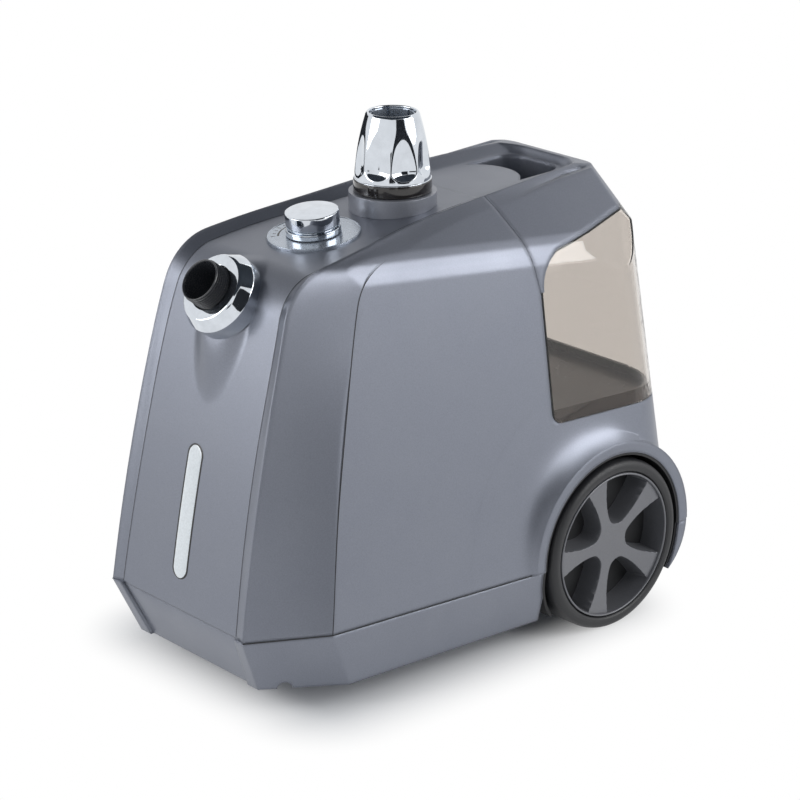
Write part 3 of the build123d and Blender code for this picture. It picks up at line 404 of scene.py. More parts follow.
def make_piece(name: str, surfaces: list[Surface], finish: Finish | ClearFinish, body: str,
               closed: bool = False, thickness_mm: float = 0.0) -> bpy.types.Object:
    """Put grids into one mesh object that rides on a CAD body.

    Args:
        name: the piece's name.
        surfaces: the grids, in drawing millimetres.
        finish: its finish.
        body: the CAD body that carries it.
        closed: whether the grids close a volume, so that normals can be worked out.
        thickness_mm: wall thickness added inwards by Solidify, or 0.
    Returns:
        The new object.
    """
    points = []
    faces = []
    count = 0
    for surface in surfaces:
        rows, columns = surface.points.shape[:2]
        quads = grid_faces(rows, columns, surface.wrap_rows, surface.wrap_columns)
        if surface.keep is not None:
            quads = quads[surface.keep.reshape(-1)]
        if surface.flip:
            quads = quads[:, ::-1]
        points.append(surface.points.reshape(-1, 3))
        faces.append(quads + count)
        count += rows * columns
    used, corners = np.unique(np.concatenate(faces), return_inverse=True)
    mesh = bpy.data.meshes.new(name)
    mesh.from_pydata(to_frame(np.concatenate(points)[used]), [], corners.reshape(-1, 4))
    shape = bmesh.new()
    shape.from_mesh(mesh)
    bmesh.ops.remove_doubles(shape, verts=shape.verts, dist=2e-6)
    bmesh.ops.dissolve_degenerate(shape, edges=shape.edges, dist=1e-7)
    if closed:
        bmesh.ops.recalc_face_normals(shape, faces=shape.faces)
    shape.to_mesh(mesh)
    shape.free()
    mesh.polygons.foreach_set("use_smooth", np.ones(len(mesh.polygons), bool))
    mesh.set_sharp_from_angle(angle=math.radians(50))
    mesh.materials.append(finish.material())
    piece = add_object(name, mesh)
    if thickness_mm:
        wall = piece.modifiers.new("wall", "SOLIDIFY")
        wall.thickness = thickness_mm * MM
        wall.offset = -1.0
    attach(piece, body)
    LOG.info("made %s: %d points on %s", name, len(mesh.vertices), body)
    return piece


def rounded(points: list[tuple[float, float]], radius: float, steps: int = 5) -> np.ndarray:
    """Round the corners of an open profile line.

    Each inner corner is cut back by the radius (or 45 % of its shorter run) along both runs, and
    a parabola tangent to both joins the cuts.

    Args:
        points: the profile's corners.
        radius: how far each corner is cut back, in millimetres.
        steps: points on each rounded corner.
    Returns:
        The rounded profile, one row per point.
    """
    line = np.array(points, float)
    before = line[:-2] - line[1:-1]
    after = line[2:] - line[1:-1]
    long_before = np.linalg.norm(before, axis=1, keepdims=True)
    long_after = np.linalg.norm(after, axis=1, keepdims=True)
    cut = np.minimum(radius, 0.45 * np.minimum(long_before, long_after))
    start = line[1:-1] + before / long_before * cut
    stop = line[1:-1] + after / long_after * cut
    t = np.linspace(0, 1, steps)[None, :, None]
    bends = (1 - t) ** 2 * start[:, None] + 2 * t * (1 - t) * line[1:-1][:, None] + t ** 2 * stop[:, None]
    return np.concatenate((line[:1], bends.reshape(-1, 2), line[-1:]))


@dataclass(frozen=True)
class Axis:
    """An axis in the drawing: where it starts, and its direction with two directions across it."""

    origin: tuple[float, float, float]
    along: tuple[float, float, float]
    across: tuple[float, float, float]

    def place(self, radius: np.ndarray, angle: np.ndarray, height: np.ndarray) -> np.ndarray:
        """Points at a radius, angle and height about the axis.

        Args:
            radius: distance from the axis.
            angle: angle from the first direction across, in radians.
            height: distance along the axis.
        Returns:
            Drawing points, with one more dimension than the inputs.
        """
        along = np.array(self.along)
        first = np.array(self.across)
        second = np.cross(along, first)
        return (np.array(self.origin) + height[..., None] * along
                + (radius * np.cos(angle))[..., None] * first + (radius * np.sin(angle))[..., None] * second)


def tilted(origin: tuple[float, float, float], degrees: float) -> Axis:
    """An axis that leans from straight up towards the front by an angle."""
    lean = math.radians(degrees)
    return Axis(origin, (0.0, -math.sin(lean), math.cos(lean)), (1.0, 0.0, 0.0))


def lathe(axis: Axis, profile: np.ndarray, turns: int = 96) -> Surface:
    """Carry a profile of radius and height round an axis.

    Args:
        axis: the axis of the turned piece.
        profile: one row of radius and height for each point.
        turns: points round the circle.
    Returns:
        The turned surface.
    """
    angle = np.linspace(0, 2 * np.pi, turns, endpoint=False)
    radius = np.repeat(profile[:, :1], turns, 1)
    height = np.repeat(profile[:, 1:], turns, 1)
    return Surface(axis.place(radius, np.broadcast_to(angle, radius.shape), height), wrap_columns=True)


@dataclass
class Studio:
    """Floor, soft light, white surroundings and the camera."""

    place_m: tuple[float, float, float] = (1.317606, -1.168220, 0.807808)
    azimuth_deg: float = 48.064
    elevation_deg: float = 20.155
    lens_mm: float = 123.504
    floor_colour: str = "#f4f5f6"
    floor_reach_m: float = 6.0
    floor_lines: int = 25
    foot_m: tuple[float, float, float] = (0.078, 0.12, 0.0)
    shadow_m: float = 0.075

    def camera(self) -> None:
        """Stand the camera where the photograph was taken from."""
        data = bpy.data.cameras.new("camera")
        data.sensor_width = 36.0
        data.sensor_fit = "HORIZONTAL"
        data.lens = self.lens_mm
        data.clip_start = 0.05
        made = add_object("camera", data)
        made.location = self.place_m
        made.rotation_euler = (math.radians(90 - self.elevation_deg), 0, math.radians(self.azimuth_deg))
        bpy.context.scene.camera = made

    def lamp(self, name: str, place: tuple[float, float, float], aim: tuple[float, float, float],
             size: tuple[float, float], watts: float) -> None:
        """Hang one soft box.

        Args:
            name: the lamp's name.
            place: where it hangs, in metres.
            aim: the point it faces, in metres.
            size: width and height of the box, in metres.
            watts: its power.
        """
        data = bpy.data.lights.new(name, "AREA")
        data.shape = "RECTANGLE"
        data.size, data.size_y = size
        data.energy = watts
        made = add_object(name, data)
        made.location = place
        away = np.array(place) - np.array(aim)
        flat = math.hypot(away[0], away[1])
        made.rotation_euler = (math.atan2(flat, away[2]), 0, math.atan2(away[0], -away[1]))

    def card(self, name: str, corners: list[tuple[float, float, float]], colour: str) -> None:
        """Hang a matt dark card that gives mirrors something to show, unseen by the camera.

        Args:
            name: the card's name.
            corners: its four corners in metres.
            colour: its colour.
        """
        mesh = bpy.data.meshes.new(name)
        mesh.from_pydata(corners, [], [(0, 1, 2, 3)])
        made = add_object(name, mesh)
        paper, _, shader = new_material(name)
        shader.inputs["Base Color"].default_value = linear(colour)
        shader.inputs["Roughness"].default_value = 0.9
        mesh.materials.append(paper)
        made.visible_camera = False
        made.visible_shadow = False
        made.visible_diffuse = False

    def floor(self) -> None:
        """Lay a wide pale floor that fades into the white surroundings."""
        t = np.linspace(-self.floor_reach_m, self.floor_reach_m, self.floor_lines)
        x, y = np.meshgrid(t, t, indexing="ij")
        mesh = bpy.data.meshes.new("floor")
        points = np.stack((x, y, np.zeros_like(x)), -1).reshape(-1, 3)
        mesh.from_pydata(points, [], grid_faces(self.floor_lines, self.floor_lines, False, False))
        made = add_object("floor", mesh)
        paper, tree, shader = new_material("pale_floor")
        shader.inputs["Base Color"].default_value = linear(self.floor_colour)
        shader.inputs["Roughness"].default_value = 0.75
        place = add_node(tree, "ShaderNodeTexCoord").outputs["Object"]
        spread = add_node(tree, "ShaderNodeVectorMath", {0: place}, operation="ABSOLUTE")
        outside = add_node(tree, "ShaderNodeVectorMath", {
            0: spread.outputs["Vector"], 1: self.foot_m}, operation="SUBTRACT")
        beyond = add_node(tree, "ShaderNodeVectorMath", {
            0: outside.outputs["Vector"], 1: (0.0, 0.0, 0.0)}, operation="MAXIMUM")
        away = add_node(tree, "ShaderNodeVectorMath", {0: beyond.outputs["Vector"]}, operation="LENGTH")
        # The floor is white beyond the object's own shadow, as on a lit paper sweep.
        fade = add_node(tree, "ShaderNodeMapRange", {
            "Value": away.outputs["Value"], "From Min": 0.0, "From Max": self.shadow_m,
            "To Min": 0.0, "To Max": 1.0}, interpolation_type="SMOOTHSTEP")
        share = add_node(tree, "ShaderNodeMath", {
            0: fade.outputs["Result"], 1: seen_share(tree)}, operation="MULTIPLY")
        white = add_node(tree, "ShaderNodeEmission", {"Color": (1, 1, 1, 1), "Strength": 1.0})
        mix = add_node(tree, "ShaderNodeMixShader", {
            0: share.outputs["Value"], 1: shader.outputs["BSDF"], 2: white.outputs["Emission"]})
        tree.links.new(mix.outputs["Shader"], tree.nodes["Material Output"].inputs["Surface"])
        mesh.materials.append(paper)

    def world(self) -> None:
        """White for the eye, the mirrors and the glass; a softer grey for the light itself."""
        made = bpy.data.worlds.new("studio")
        bpy.context.scene.world = made
        made.use_nodes = True
        tree = made.node_tree
        tree.nodes.clear()
        dim = add_node(tree, "ShaderNodeBackground", {"Color": linear("#e9edf2"), "Strength": 0.42})
        white = add_node(tree, "ShaderNodeBackground", {"Color": (1, 1, 1, 1), "Strength": 1.0})
        mix = add_node(tree, "ShaderNodeMixShader", {
            0: seen_share(tree), 1: dim.outputs["Background"], 2: white.outputs["Background"]})
        out = add_node(tree, "ShaderNodeOutputWorld")
        tree.links.new(mix.outputs["Shader"], out.inputs["Surface"])

    def build(self) -> None:
        """Set up the whole studio."""
        bpy.context.scene.view_settings.view_transform = "Standard"
        self.camera()
        self.floor()
        self.world()
        middle = (0.0, 0.0, 0.15)
        self.lamp("right_box", (1.35, 0.85, 0.85), middle, (1.2, 0.9), 15.0)
        self.lamp("front_box", (-0.75, -1.5, 0.75), middle, (1.1, 0.9), 13.0)
        self.lamp("top_box", (-0.2, 0.9, 1.7), middle, (1.0, 0.7), 2.5)
        self.card("ceiling_card", [(-1.3, -1.4, 1.5), (1.5, -1.4, 1.5), (1.5, 1.1, 1.5), (-1.3, 1.1, 1.5)],
                  "#2a3038")
        self.card("horizon_card", [(1.28, -1.62, -0.05), (1.28, -1.62, 0.5), (1.78, -1.17, 0.5),
                                   (1.78, -1.17, -0.05)], "#1c1e22")
        self.card("left_card", [(-1.5, -0.5, 0.0), (-1.5, -0.5, 0.7), (-1.5, 0.7, 0.7), (-1.5, 0.7, 0.0)],
                  "#202329")
        self.card("side_card", [(1.85, -0.95, 0.0), (1.85, -0.95, 1.7), (2.05, 0.25, 1.7), (2.05, 0.25, 0.0)],
                  "#24272c")


@dataclass
class LockNut:
    """Chrome nut that clamps the pole: a bullet with eight scooped flutes."""

    low: float = 293.4
    bore: float = 20.4
    flange_radius: float = 26.4
    flange_top: float = 301.6
    base_radius: float = 25.6
    mouth_radius: float = 17.2
    mouth_bore: float = 15.6
    top: float = 347.0
    flutes: int = 8
    flute_phase_deg: float = 22.5
    scoop_radius: float = 11.6
    scoop_axis: float = 32.5
    scoop_low: float = 311.0
    scoop_end: float = 7.5
    ridge_mm: float = 0.45

    def profile(self) -> np.ndarray:
        """Draw the nut's outline from the foot, over the rim and down into the mouth.

        Returns:
            One row of radius and height for each point.
        """
        t = np.linspace(0, 1, 70)
        # Bullet line: a parabola that leans in a little at the flange and more towards the mouth.
        height = self.flange_top + 0.8 + t * (self.top - 1.4 - self.flange_top - 0.8)
        lean_in = self.base_radius - self.mouth_radius - 0.9
        radius = self.base_radius - lean_in * (0.28 * t + 0.72 * t ** 2)
        foot = rounded([(self.bore, self.flange_top), (self.base_radius + 0.6, self.flange_top),
                        (self.base_radius + 0.6, self.flange_top + 0.6),
                        (self.base_radius, self.flange_top + 0.8)], 0.3)
        mouth = rounded([(radius[-1], height[-1]), (self.mouth_radius - 0.2, self.top),
                         (self.mouth_bore, self.top - 0.3), (self.mouth_bore, self.top - 14)], 0.8)
        return np.concatenate((foot[:-1], np.stack((radius, height), 1), mouth[1:]))

    def build(self) -> None:
        """Make the nut: the smaller of the bullet's radius and the scoops' near side.

        Each scoop is a capsule standing beside the nut, so its near side is the axis distance
        less the root of its radius squared, less the squared offsets across and below.
        """
        line = self.profile()
        angle = np.linspace(0, 2 * np.pi, 416, endpoint=False)
        radius = np.repeat(line[:, :1], angle.size, 1)
        height = np.repeat(line[:, 1:], angle.size, 1)
        pitch = 2 * np.pi / self.flutes
        phase = math.radians(self.flute_phase_deg)
        off = (angle - phase + pitch / 2) % pitch - pitch / 2
        across = radius * np.sin(off)[None, :]
        below = np.minimum(height - self.scoop_low, 0) * self.scoop_radius / self.scoop_end
        reach = self.scoop_radius ** 2 - across ** 2 - below ** 2
        scoop = np.where(reach > 0, self.scoop_axis - np.sqrt(np.maximum(reach, 0)), 99.0)
        # The last two rows are the wall of the mouth's bore, which has no flutes.
        outside = (np.arange(len(line)) < len(line) - 2)[:, None] & (height > self.flange_top)
        # Soft minimum, so that the ridge between bullet and scoop is round as plating leaves it.
        soft = self.ridge_mm
        nearer = np.minimum(radius, scoop)
        ridge = soft * np.log(np.exp(np.clip(nearer - radius, -30, 0) / soft)
                              + np.exp(np.clip(nearer - scoop, -30, 0) / soft))
        scooped = np.where(outside, nearer - ridge, radius)
        axis = Axis((0.0, POLE_Y, 0.0), (0.0, 0.0, 1.0), (1.0, 0.0, 0.0))
        points = axis.place(scooped, np.broadcast_to(angle, radius.shape), height)
        piece = make_piece("lock_nut_fluted", [Surface(points, wrap_columns=True, flip=True)], CHROME,
                           "lock_nut")
        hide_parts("lock_nut")
        flange = rounded([(self.bore, self.low), (self.flange_radius, self.low),
                          (self.flange_radius, self.flange_top), (self.bore, self.flange_top)], 0.6)
        make_piece("lock_nut_flange", [lathe(axis, flange, 128)], GLOSS_BLACK, "lock_nut")
        dress(SATIN, "collet")


@dataclass
class Knob:
    """Two-tier chrome knob over a silver dial plate with plain ticks."""

    tilt_deg: float = 6.4
    radius: float = 18.3
    skirt_top: float = 4.6
    groove: float = 1.0
    groove_depth: float = 2.3
    top: float = 15.5
    plate_radius: float = 31.0
    shaft_hole: float = 3.4
    ticks: int = 7
    tick_first_deg: float = 165.0
    tick_pitch_deg: float = 11.0
    tick_low: float = 25.2
    tick_high: float = 27.4
    long_tick_high: float = 28.2
    arc_radius: float = 23.4
    mark_height: float = 0.06

    def build(self) -> None:
        """Turn the skirt, cap and plate, and set the ticks."""
        axis = tilted(DIAL_CENTRE, self.tilt_deg)
        r = self.radius
        low = self.skirt_top + self.groove
        skirt = rounded([(0, 0.4), (r, 0.4), (r, self.skirt_top), (r - self.groove_depth, self.skirt_top),
                         (r - self.groove_depth, low), (0, low)], 0.6)
        piece = make_piece("knob_skirt_turned", [lathe(axis, skirt)], CHROME, "knob", closed=True)
        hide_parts("knob_skirt")
        cap = rounded([(0, low), (r - 0.4, low), (r - 0.4, self.top), (0, self.top + 0.25)], 0.7)
        piece = make_piece("knob_cap_turned", [lathe(axis, cap)], CHROME, "knob", closed=True)
        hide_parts("knob_cap")
        self.plate(axis)
        dress(STEEL, "knob_shaft")
        dress(BLACK_PA, "rotary_switch")

    def plate(self, axis: Axis) -> None:
        """Dial plate with a fine raised rim, a long arc and short ticks beside it.

        Args:
            axis: the knob's axis.
        """
        edge = self.plate_radius
        line = rounded([(self.shaft_hole, -2.0), (self.shaft_hole, 0.0), (edge - 1.4, 0.0), (edge - 1.0, 0.4),
                        (edge - 0.1, 0.3), (edge - 0.1, -2.0)], 0.3)
        piece = make_piece("dial_plate_turned", [lathe(axis, line)], SATIN, "housing")
        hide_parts("dial_plate")
        marks = []
        start = math.radians(self.tick_first_deg)
        pitch = math.radians(self.tick_pitch_deg)
        for step in range(self.ticks):
            angle = np.linspace(-0.012, 0.012, 2)[:, None] + start + step * pitch
            radius = np.linspace(self.tick_low, self.tick_high if step % 3 else self.long_tick_high, 2)
            marks.append(Surface(axis.place(np.broadcast_to(radius, (2, 2)), np.broadcast_to(angle, (2, 2)),
                                            np.full((2, 2), self.mark_height)), flip=True))
        # The arc beside the ticks grows wider from the first tick to the last.
        t = np.linspace(0, 1, 40)[:, None]
        angle = np.broadcast_to(start + t * (self.ticks - 1) * pitch, (40, 2))
        radius = self.arc_radius + np.array((-0.5, 0.5)) * (0.25 + 1.2 * t)
        marks.append(Surface(axis.place(radius, angle, np.full((40, 2), self.mark_height)), flip=True))
        make_piece("dial_ticks", marks, BLACK_PA, "housing")


@dataclass
class HoseOutlet:
    """Chrome collar round a black threaded spigot."""

    mouth: tuple[float, float, float] = (0.0, -238.17, 265.07)
    radius: float = 14.83
    bore: float = 12.6
    crests: int = 8
    thread_long: float = 15.0
    thread_depth: float = 0.8

    def build(self) -> None:
        """Turn the collar and the spigot's thread."""
        axis = tilted(self.mouth, OUTLET_TILT_DEG)
        collar = rounded([(15.3, -24.0), (15.3, -11.8), (22.8, -11.8), (23.8, -12.8), (27.9, -20.35),
                          (27.9, -21.4), (27.4, -32.0)], 0.9)
        piece = make_piece("hose_collar_turned", [lathe(axis, collar, 128)], CHROME, "housing")
        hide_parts("hose_collar")
        # Thread: a smooth ripple of the radius along the spigot.
        t = np.linspace(0, 1, 20 * self.crests)
        height = -1.2 - t * self.thread_long
        radius = self.radius - self.thread_depth - self.thread_depth * np.cos(2 * np.pi * t * self.crests)
        thread = np.stack((radius, height), 1)
        bore = rounded([(7.5, -40.0), (self.bore, -34.0), (self.bore + 0.3, -1.0), (self.bore + 0.9, 0.0),
                        (self.radius - 0.6, 0.0), (self.radius - 0.4, -0.9)], 0.4)
        tail = np.array([(self.radius - 1.6, -17.0), (15.1, -17.0), (15.1, -21.0)])
        line = np.concatenate((bore, thread, tail))
        # Painted light: the spigot takes the greyer nylon, so that the thread's crests show.
        piece = make_piece("hose_spigot_turned", [lathe(axis, line, 128)], NYLON_THREAD_PAINTED_LIGHT, "housing")
        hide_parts("hose_spigot")


@dataclass
class Wheel:
    """One big wheel: a dished five-spoke hub and a smooth tyre."""

    side: float
    prefix: str
    radius: float = 61.2
    face_x: float = 120.6
    inner_x: float = 90.0
    bead: float = 52.2
    rim: float = 50.2
    rim_x: float = 117.8
    dish_depth: float = 2.4
    pocket_x: float = 98.5
    boss_radius: float = 15.0
    spokes: int = 5
    first_deg: float = 38.0
    spoke_half: float = 5.4
    spoke_flare: float = 5.6

    def body(self) -> str:
        """The CAD body that carries this wheel."""
        return self.prefix + "_wheel"

    def axis(self) -> Axis:
        """The axle line, pointing outwards."""
        return Axis((0.0, AXLE_Y, AXLE_Z), (self.side, 0.0, 0.0), (0.0, 1.0, 0.0))

    def tyre(self) -> None:
        """Turn the tyre: a flat tread, round shoulders and a shallow groove beside the bead."""
        r = self.radius
        line = rounded([(self.bead - 1.0, self.inner_x), (r - 2, self.inner_x), (r, self.inner_x + 3),
                        (r, self.face_x - 4.6), (r - 1.2, self.face_x - 1.4), (r - 4.2, self.face_x),
                        (self.bead + 1.6, self.face_x - 0.4), (self.bead + 0.4, self.face_x - 1.6),
                        (self.bead, self.face_x - 4), (self.bead - 1.0, self.inner_x)], 2.2, 7)
        piece = make_piece(self.prefix + "_tyre_moulded", [lathe(self.axis(), line, 180)], RUBBER,
                           self.body(), closed=True)
        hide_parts(self.prefix + "_tyre")

    def hub(self) -> None:
        """Shape the hub's face as a height over radius and angle.

        The face dips gently to the middle. Between the spokes it drops into pockets: inside each
        pocket the depth grows with the distance from the nearest edge (spoke side, boss or rim),
        where near edges are blended so that the pocket's corners are round.
        """
        rim = self.rim
        radius = np.concatenate((np.linspace(0, 12, 10), np.linspace(12.5, rim, 88)))[:, None]
        angle = np.linspace(0, 2 * np.pi, 520, endpoint=False)[None, :]
        pitch = 2 * np.pi / self.spokes
        off = (angle - math.radians(self.first_deg) + pitch / 2) % pitch - pitch / 2
        across = np.abs(radius * np.sin(off))
        half = self.spoke_half + self.spoke_flare * np.clip((radius - 22) / 28, 0, 1) ** 1.7
        soft = 2.0
        inner = -soft * np.log(np.exp(-np.clip(across - half, -20, 40) / soft)
                               + np.exp(-np.clip(radius - self.boss_radius, -20, 60) / soft))
        edge = np.minimum(inner + 1.0, (rim - 0.3 - radius) * 1.5)
        depth = ease(edge, -0.3, 1.6)
        dish = self.rim_x - self.dish_depth * (1 - np.clip(radius / 48, 0, 1) ** 2)
        height = dish - depth * (dish - self.pocket_x)
        axis = self.axis()
        face = axis.place(np.broadcast_to(radius, height.shape), np.broadcast_to(angle, height.shape), height)
        ring = rounded([(rim, self.rim_x), (rim + 0.1, 119.2), (rim + 0.7, 119.9), (self.bead - 0.4, 119.5),
                        (self.bead - 0.15, 116.5), (self.bead - 0.15, self.inner_x + 1.0),
                        (self.bead - 4.0, self.inner_x + 1.0), (self.bead - 4.0, 98.0), (4.3, 98.0),
                        (4.3, 96.6)], 0.5)
        piece = make_piece(self.prefix + "_hub_spoked",
                           [Surface(face, wrap_columns=True), lathe(axis, ring, 520)],
                           HUB_ABS, self.body())
        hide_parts(self.prefix + "_hub")
        # Painted shade: a black plate inside the wheel darkens the bottom of the pockets.
        plate = np.array([(0.0, 100.4), (rim - 0.3, 100.4), (rim - 0.3, 99.2), (0.0, 99.2)])
        make_piece(self.prefix + "_hub_pocket_painted_shade", [lathe(axis, plate, 180)], BLACK_ABS_AND_PAINTED_SHADE, self.body(),
                   closed=True)

    def build(self) -> None:
        """Make the tyre and the hub."""
        self.tyre()
        self.hub()


def arc_through(start: tuple, middle: tuple, stop: tuple, count: int) -> np.ndarray:
    """Points on the circle arc through three points of a plane.

    The centre is where the two chords' middle lines cross.

    Args:
        start: first point.
        middle: a point on the way.
        stop: last point.
        count: how many points to give.
    Returns:
        One row per point.
    """
    a, b, c = (np.array(p, float) for p in (start, middle, stop))
    centre = np.linalg.solve(np.stack((b - a, c - a)) * 2, np.array((b @ b - a @ a, c @ c - a @ a)))
    turn = np.arctan2(*np.stack((a - centre, b - centre, c - centre)).T[::-1])
    turn = np.unwrap(turn)
    t = np.linspace(turn[0], turn[2], count)
    return centre + np.linalg.norm(a - centre) * np.stack((np.cos(t), np.sin(t)), 1)


@dataclass(frozen=True)
class BentLine:
    """A side line of the body: two arcs that meet at a rounded corner, in y and z."""

    foot: tuple[float, float]
    front: tuple[float, float]
    corner: tuple[float, float]
    top: tuple[float, float]
    end: tuple[float, float]
    radius: float

    def points(self, shares: np.ndarray) -> np.ndarray:
        """Points at shares of the line's length.

        The corner is rounded by the cubic that stands for a circle arc: its handles are four
        thirds of the tangent of a quarter of the turn, times the radius.

        Args:
            shares: from 0 at the foot to 1 at the end.
        Returns:
            One row of y and z for each share.
        """
        up = arc_through(self.foot, self.front, self.corner, 500)
        back = arc_through(self.corner, self.top, self.end, 500)
        turn = math.acos(unit(up[-1] - up[-2]) @ unit(back[1] - back[0]))
        cut = self.radius * math.tan(turn / 2)
        up = up[np.linalg.norm(up - up[-1], axis=1) > cut]
        back = back[np.linalg.norm(back - back[0], axis=1) > cut]
        reach = 4 / 3 * math.tan(turn / 4) * self.radius
        one = up[-1] + reach * unit(up[-1] - up[-2])
        two = back[0] - reach * unit(back[1] - back[0])
        t = np.linspace(0, 1, 80)[:, None]
        bend = ((1 - t) ** 3 * up[-1] + 3 * t * (1 - t) ** 2 * one
                + 3 * t ** 2 * (1 - t) * two + t ** 3 * back[0])
        line = np.concatenate((up[:-1], bend, back[1:]))
        length = np.concatenate(([0.0], np.cumsum(np.linalg.norm(np.diff(line, axis=0), axis=1))))
        at = np.asarray(shares) * length[-1]
        return np.stack((np.interp(at, length, line[:, 0]), np.interp(at, length, line[:, 1])), -1)


RIM_LINE = BentLine((-268.0, 20.0), (-247.8, 134.0), (-211.5, 271.7), (-94.0, 286.5), (60.0, 294.5), 40.0)
PANEL_LINE = BentLine((-265.8, 20.0), (-245.6, 134.0), (-209.3, 266.6), (-94.0, 281.0), (60.0, 289.0), 36.0)
# Along the rims: share of the line, half width at the rim and at the panel's edge, and then the
# facet's foot as x, y and z.
STATIONS = np.array([
    (0, 70.2, 61.3, 101.2, -218.4, 20), (0.046, 69.4, 60.3, 98.1, -213.2, 43.5),
    (0.155, 67.9, 57.8, 90.6, -203, 100), (0.28, 65.8, 55.8, 82.6, -189, 165),
    (0.36, 64.3, 55, 76.8, -178.5, 207), (0.431, 62.3, 53.2, 72.5, -170.2, 238),
    (0.46, 61, 51.8, 71, -166, 252), (0.487, 60.2, 50.8, 70.3, -161, 261),
    (0.515, 59.6, 50.4, 69.9, -154, 267.5), (0.545, 58.8, 49.8, 68.6, -145, 271.5),
    (0.581, 57.2, 48.6, 66.8, -136, 273.3), (0.677, 51, 40.5, 63.8, -108, 276.5),
    (0.801, 47.2, 35, 57.5, -48, 283.5), (0.939, 41.4, 30, 47.5, 22, 291), (1, 37, 27, 43, 58, 293)])
RIM_COLUMN = 1
PANEL_COLUMN = 2
FOOT_COLUMNS = slice(3, 6)


def station(shares: np.ndarray, column: slice | int) -> np.ndarray:
    """Values at shares of the rim's length, on the smooth curve through the stations.

    Natural cubic spline: the bends at the stations solve one small set of equations.

    Args:
        shares: where along the rim, from 0 to 1.
        column: which columns of the stations to follow.
    Returns:
        The values, one row for each share.
    """
    x = STATIONS[:, 0]
    y = STATIONS[:, column].reshape(len(x), -1)
    h = np.diff(x)
    left = np.eye(len(x))
    inner = np.arange(1, len(x) - 1)
    left[inner, inner - 1] = h[:-1]
    left[inner, inner] = 2 * (h[:-1] + h[1:])
    left[inner, inner + 1] = h[1:]
    right = np.zeros_like(y)
    slope = np.diff(y, axis=0) / h[:, None]
    right[1:-1] = 6 * np.diff(slope, axis=0)
    bend = np.linalg.solve(left, right)
    at = np.asarray(shares, float)
    k = np.clip(np.searchsorted(x, at) - 1, 0, len(h) - 1)
    a = ((x[k + 1] - at) / h[k])[:, None]
    b = 1 - a
    hk = h[k][:, None]
    value = a * y[k] + b * y[k + 1] + ((a ** 3 - a) * bend[k] + (b ** 3 - b) * bend[k + 1]) * hk ** 2 / 6
    return value[:, 0] if isinstance(column, int) else value


def ease(value: np.ndarray, low: float, high: float) -> np.ndarray:
    """Smooth step from 0 at low to 1 at high."""
    t = np.clip((value - low) / (high - low), 0, 1)
    return t * t * (3 - 2 * t)


def wall_x(y: np.ndarray, z: np.ndarray) -> np.ndarray:
    """Half width of the flat side wall, which leans in upwards and opens to the rear."""
    return WALL_HALF + WALL_OPEN * (y - WALL_Y) - WALL_LEAN * (z - SEAM_Z)


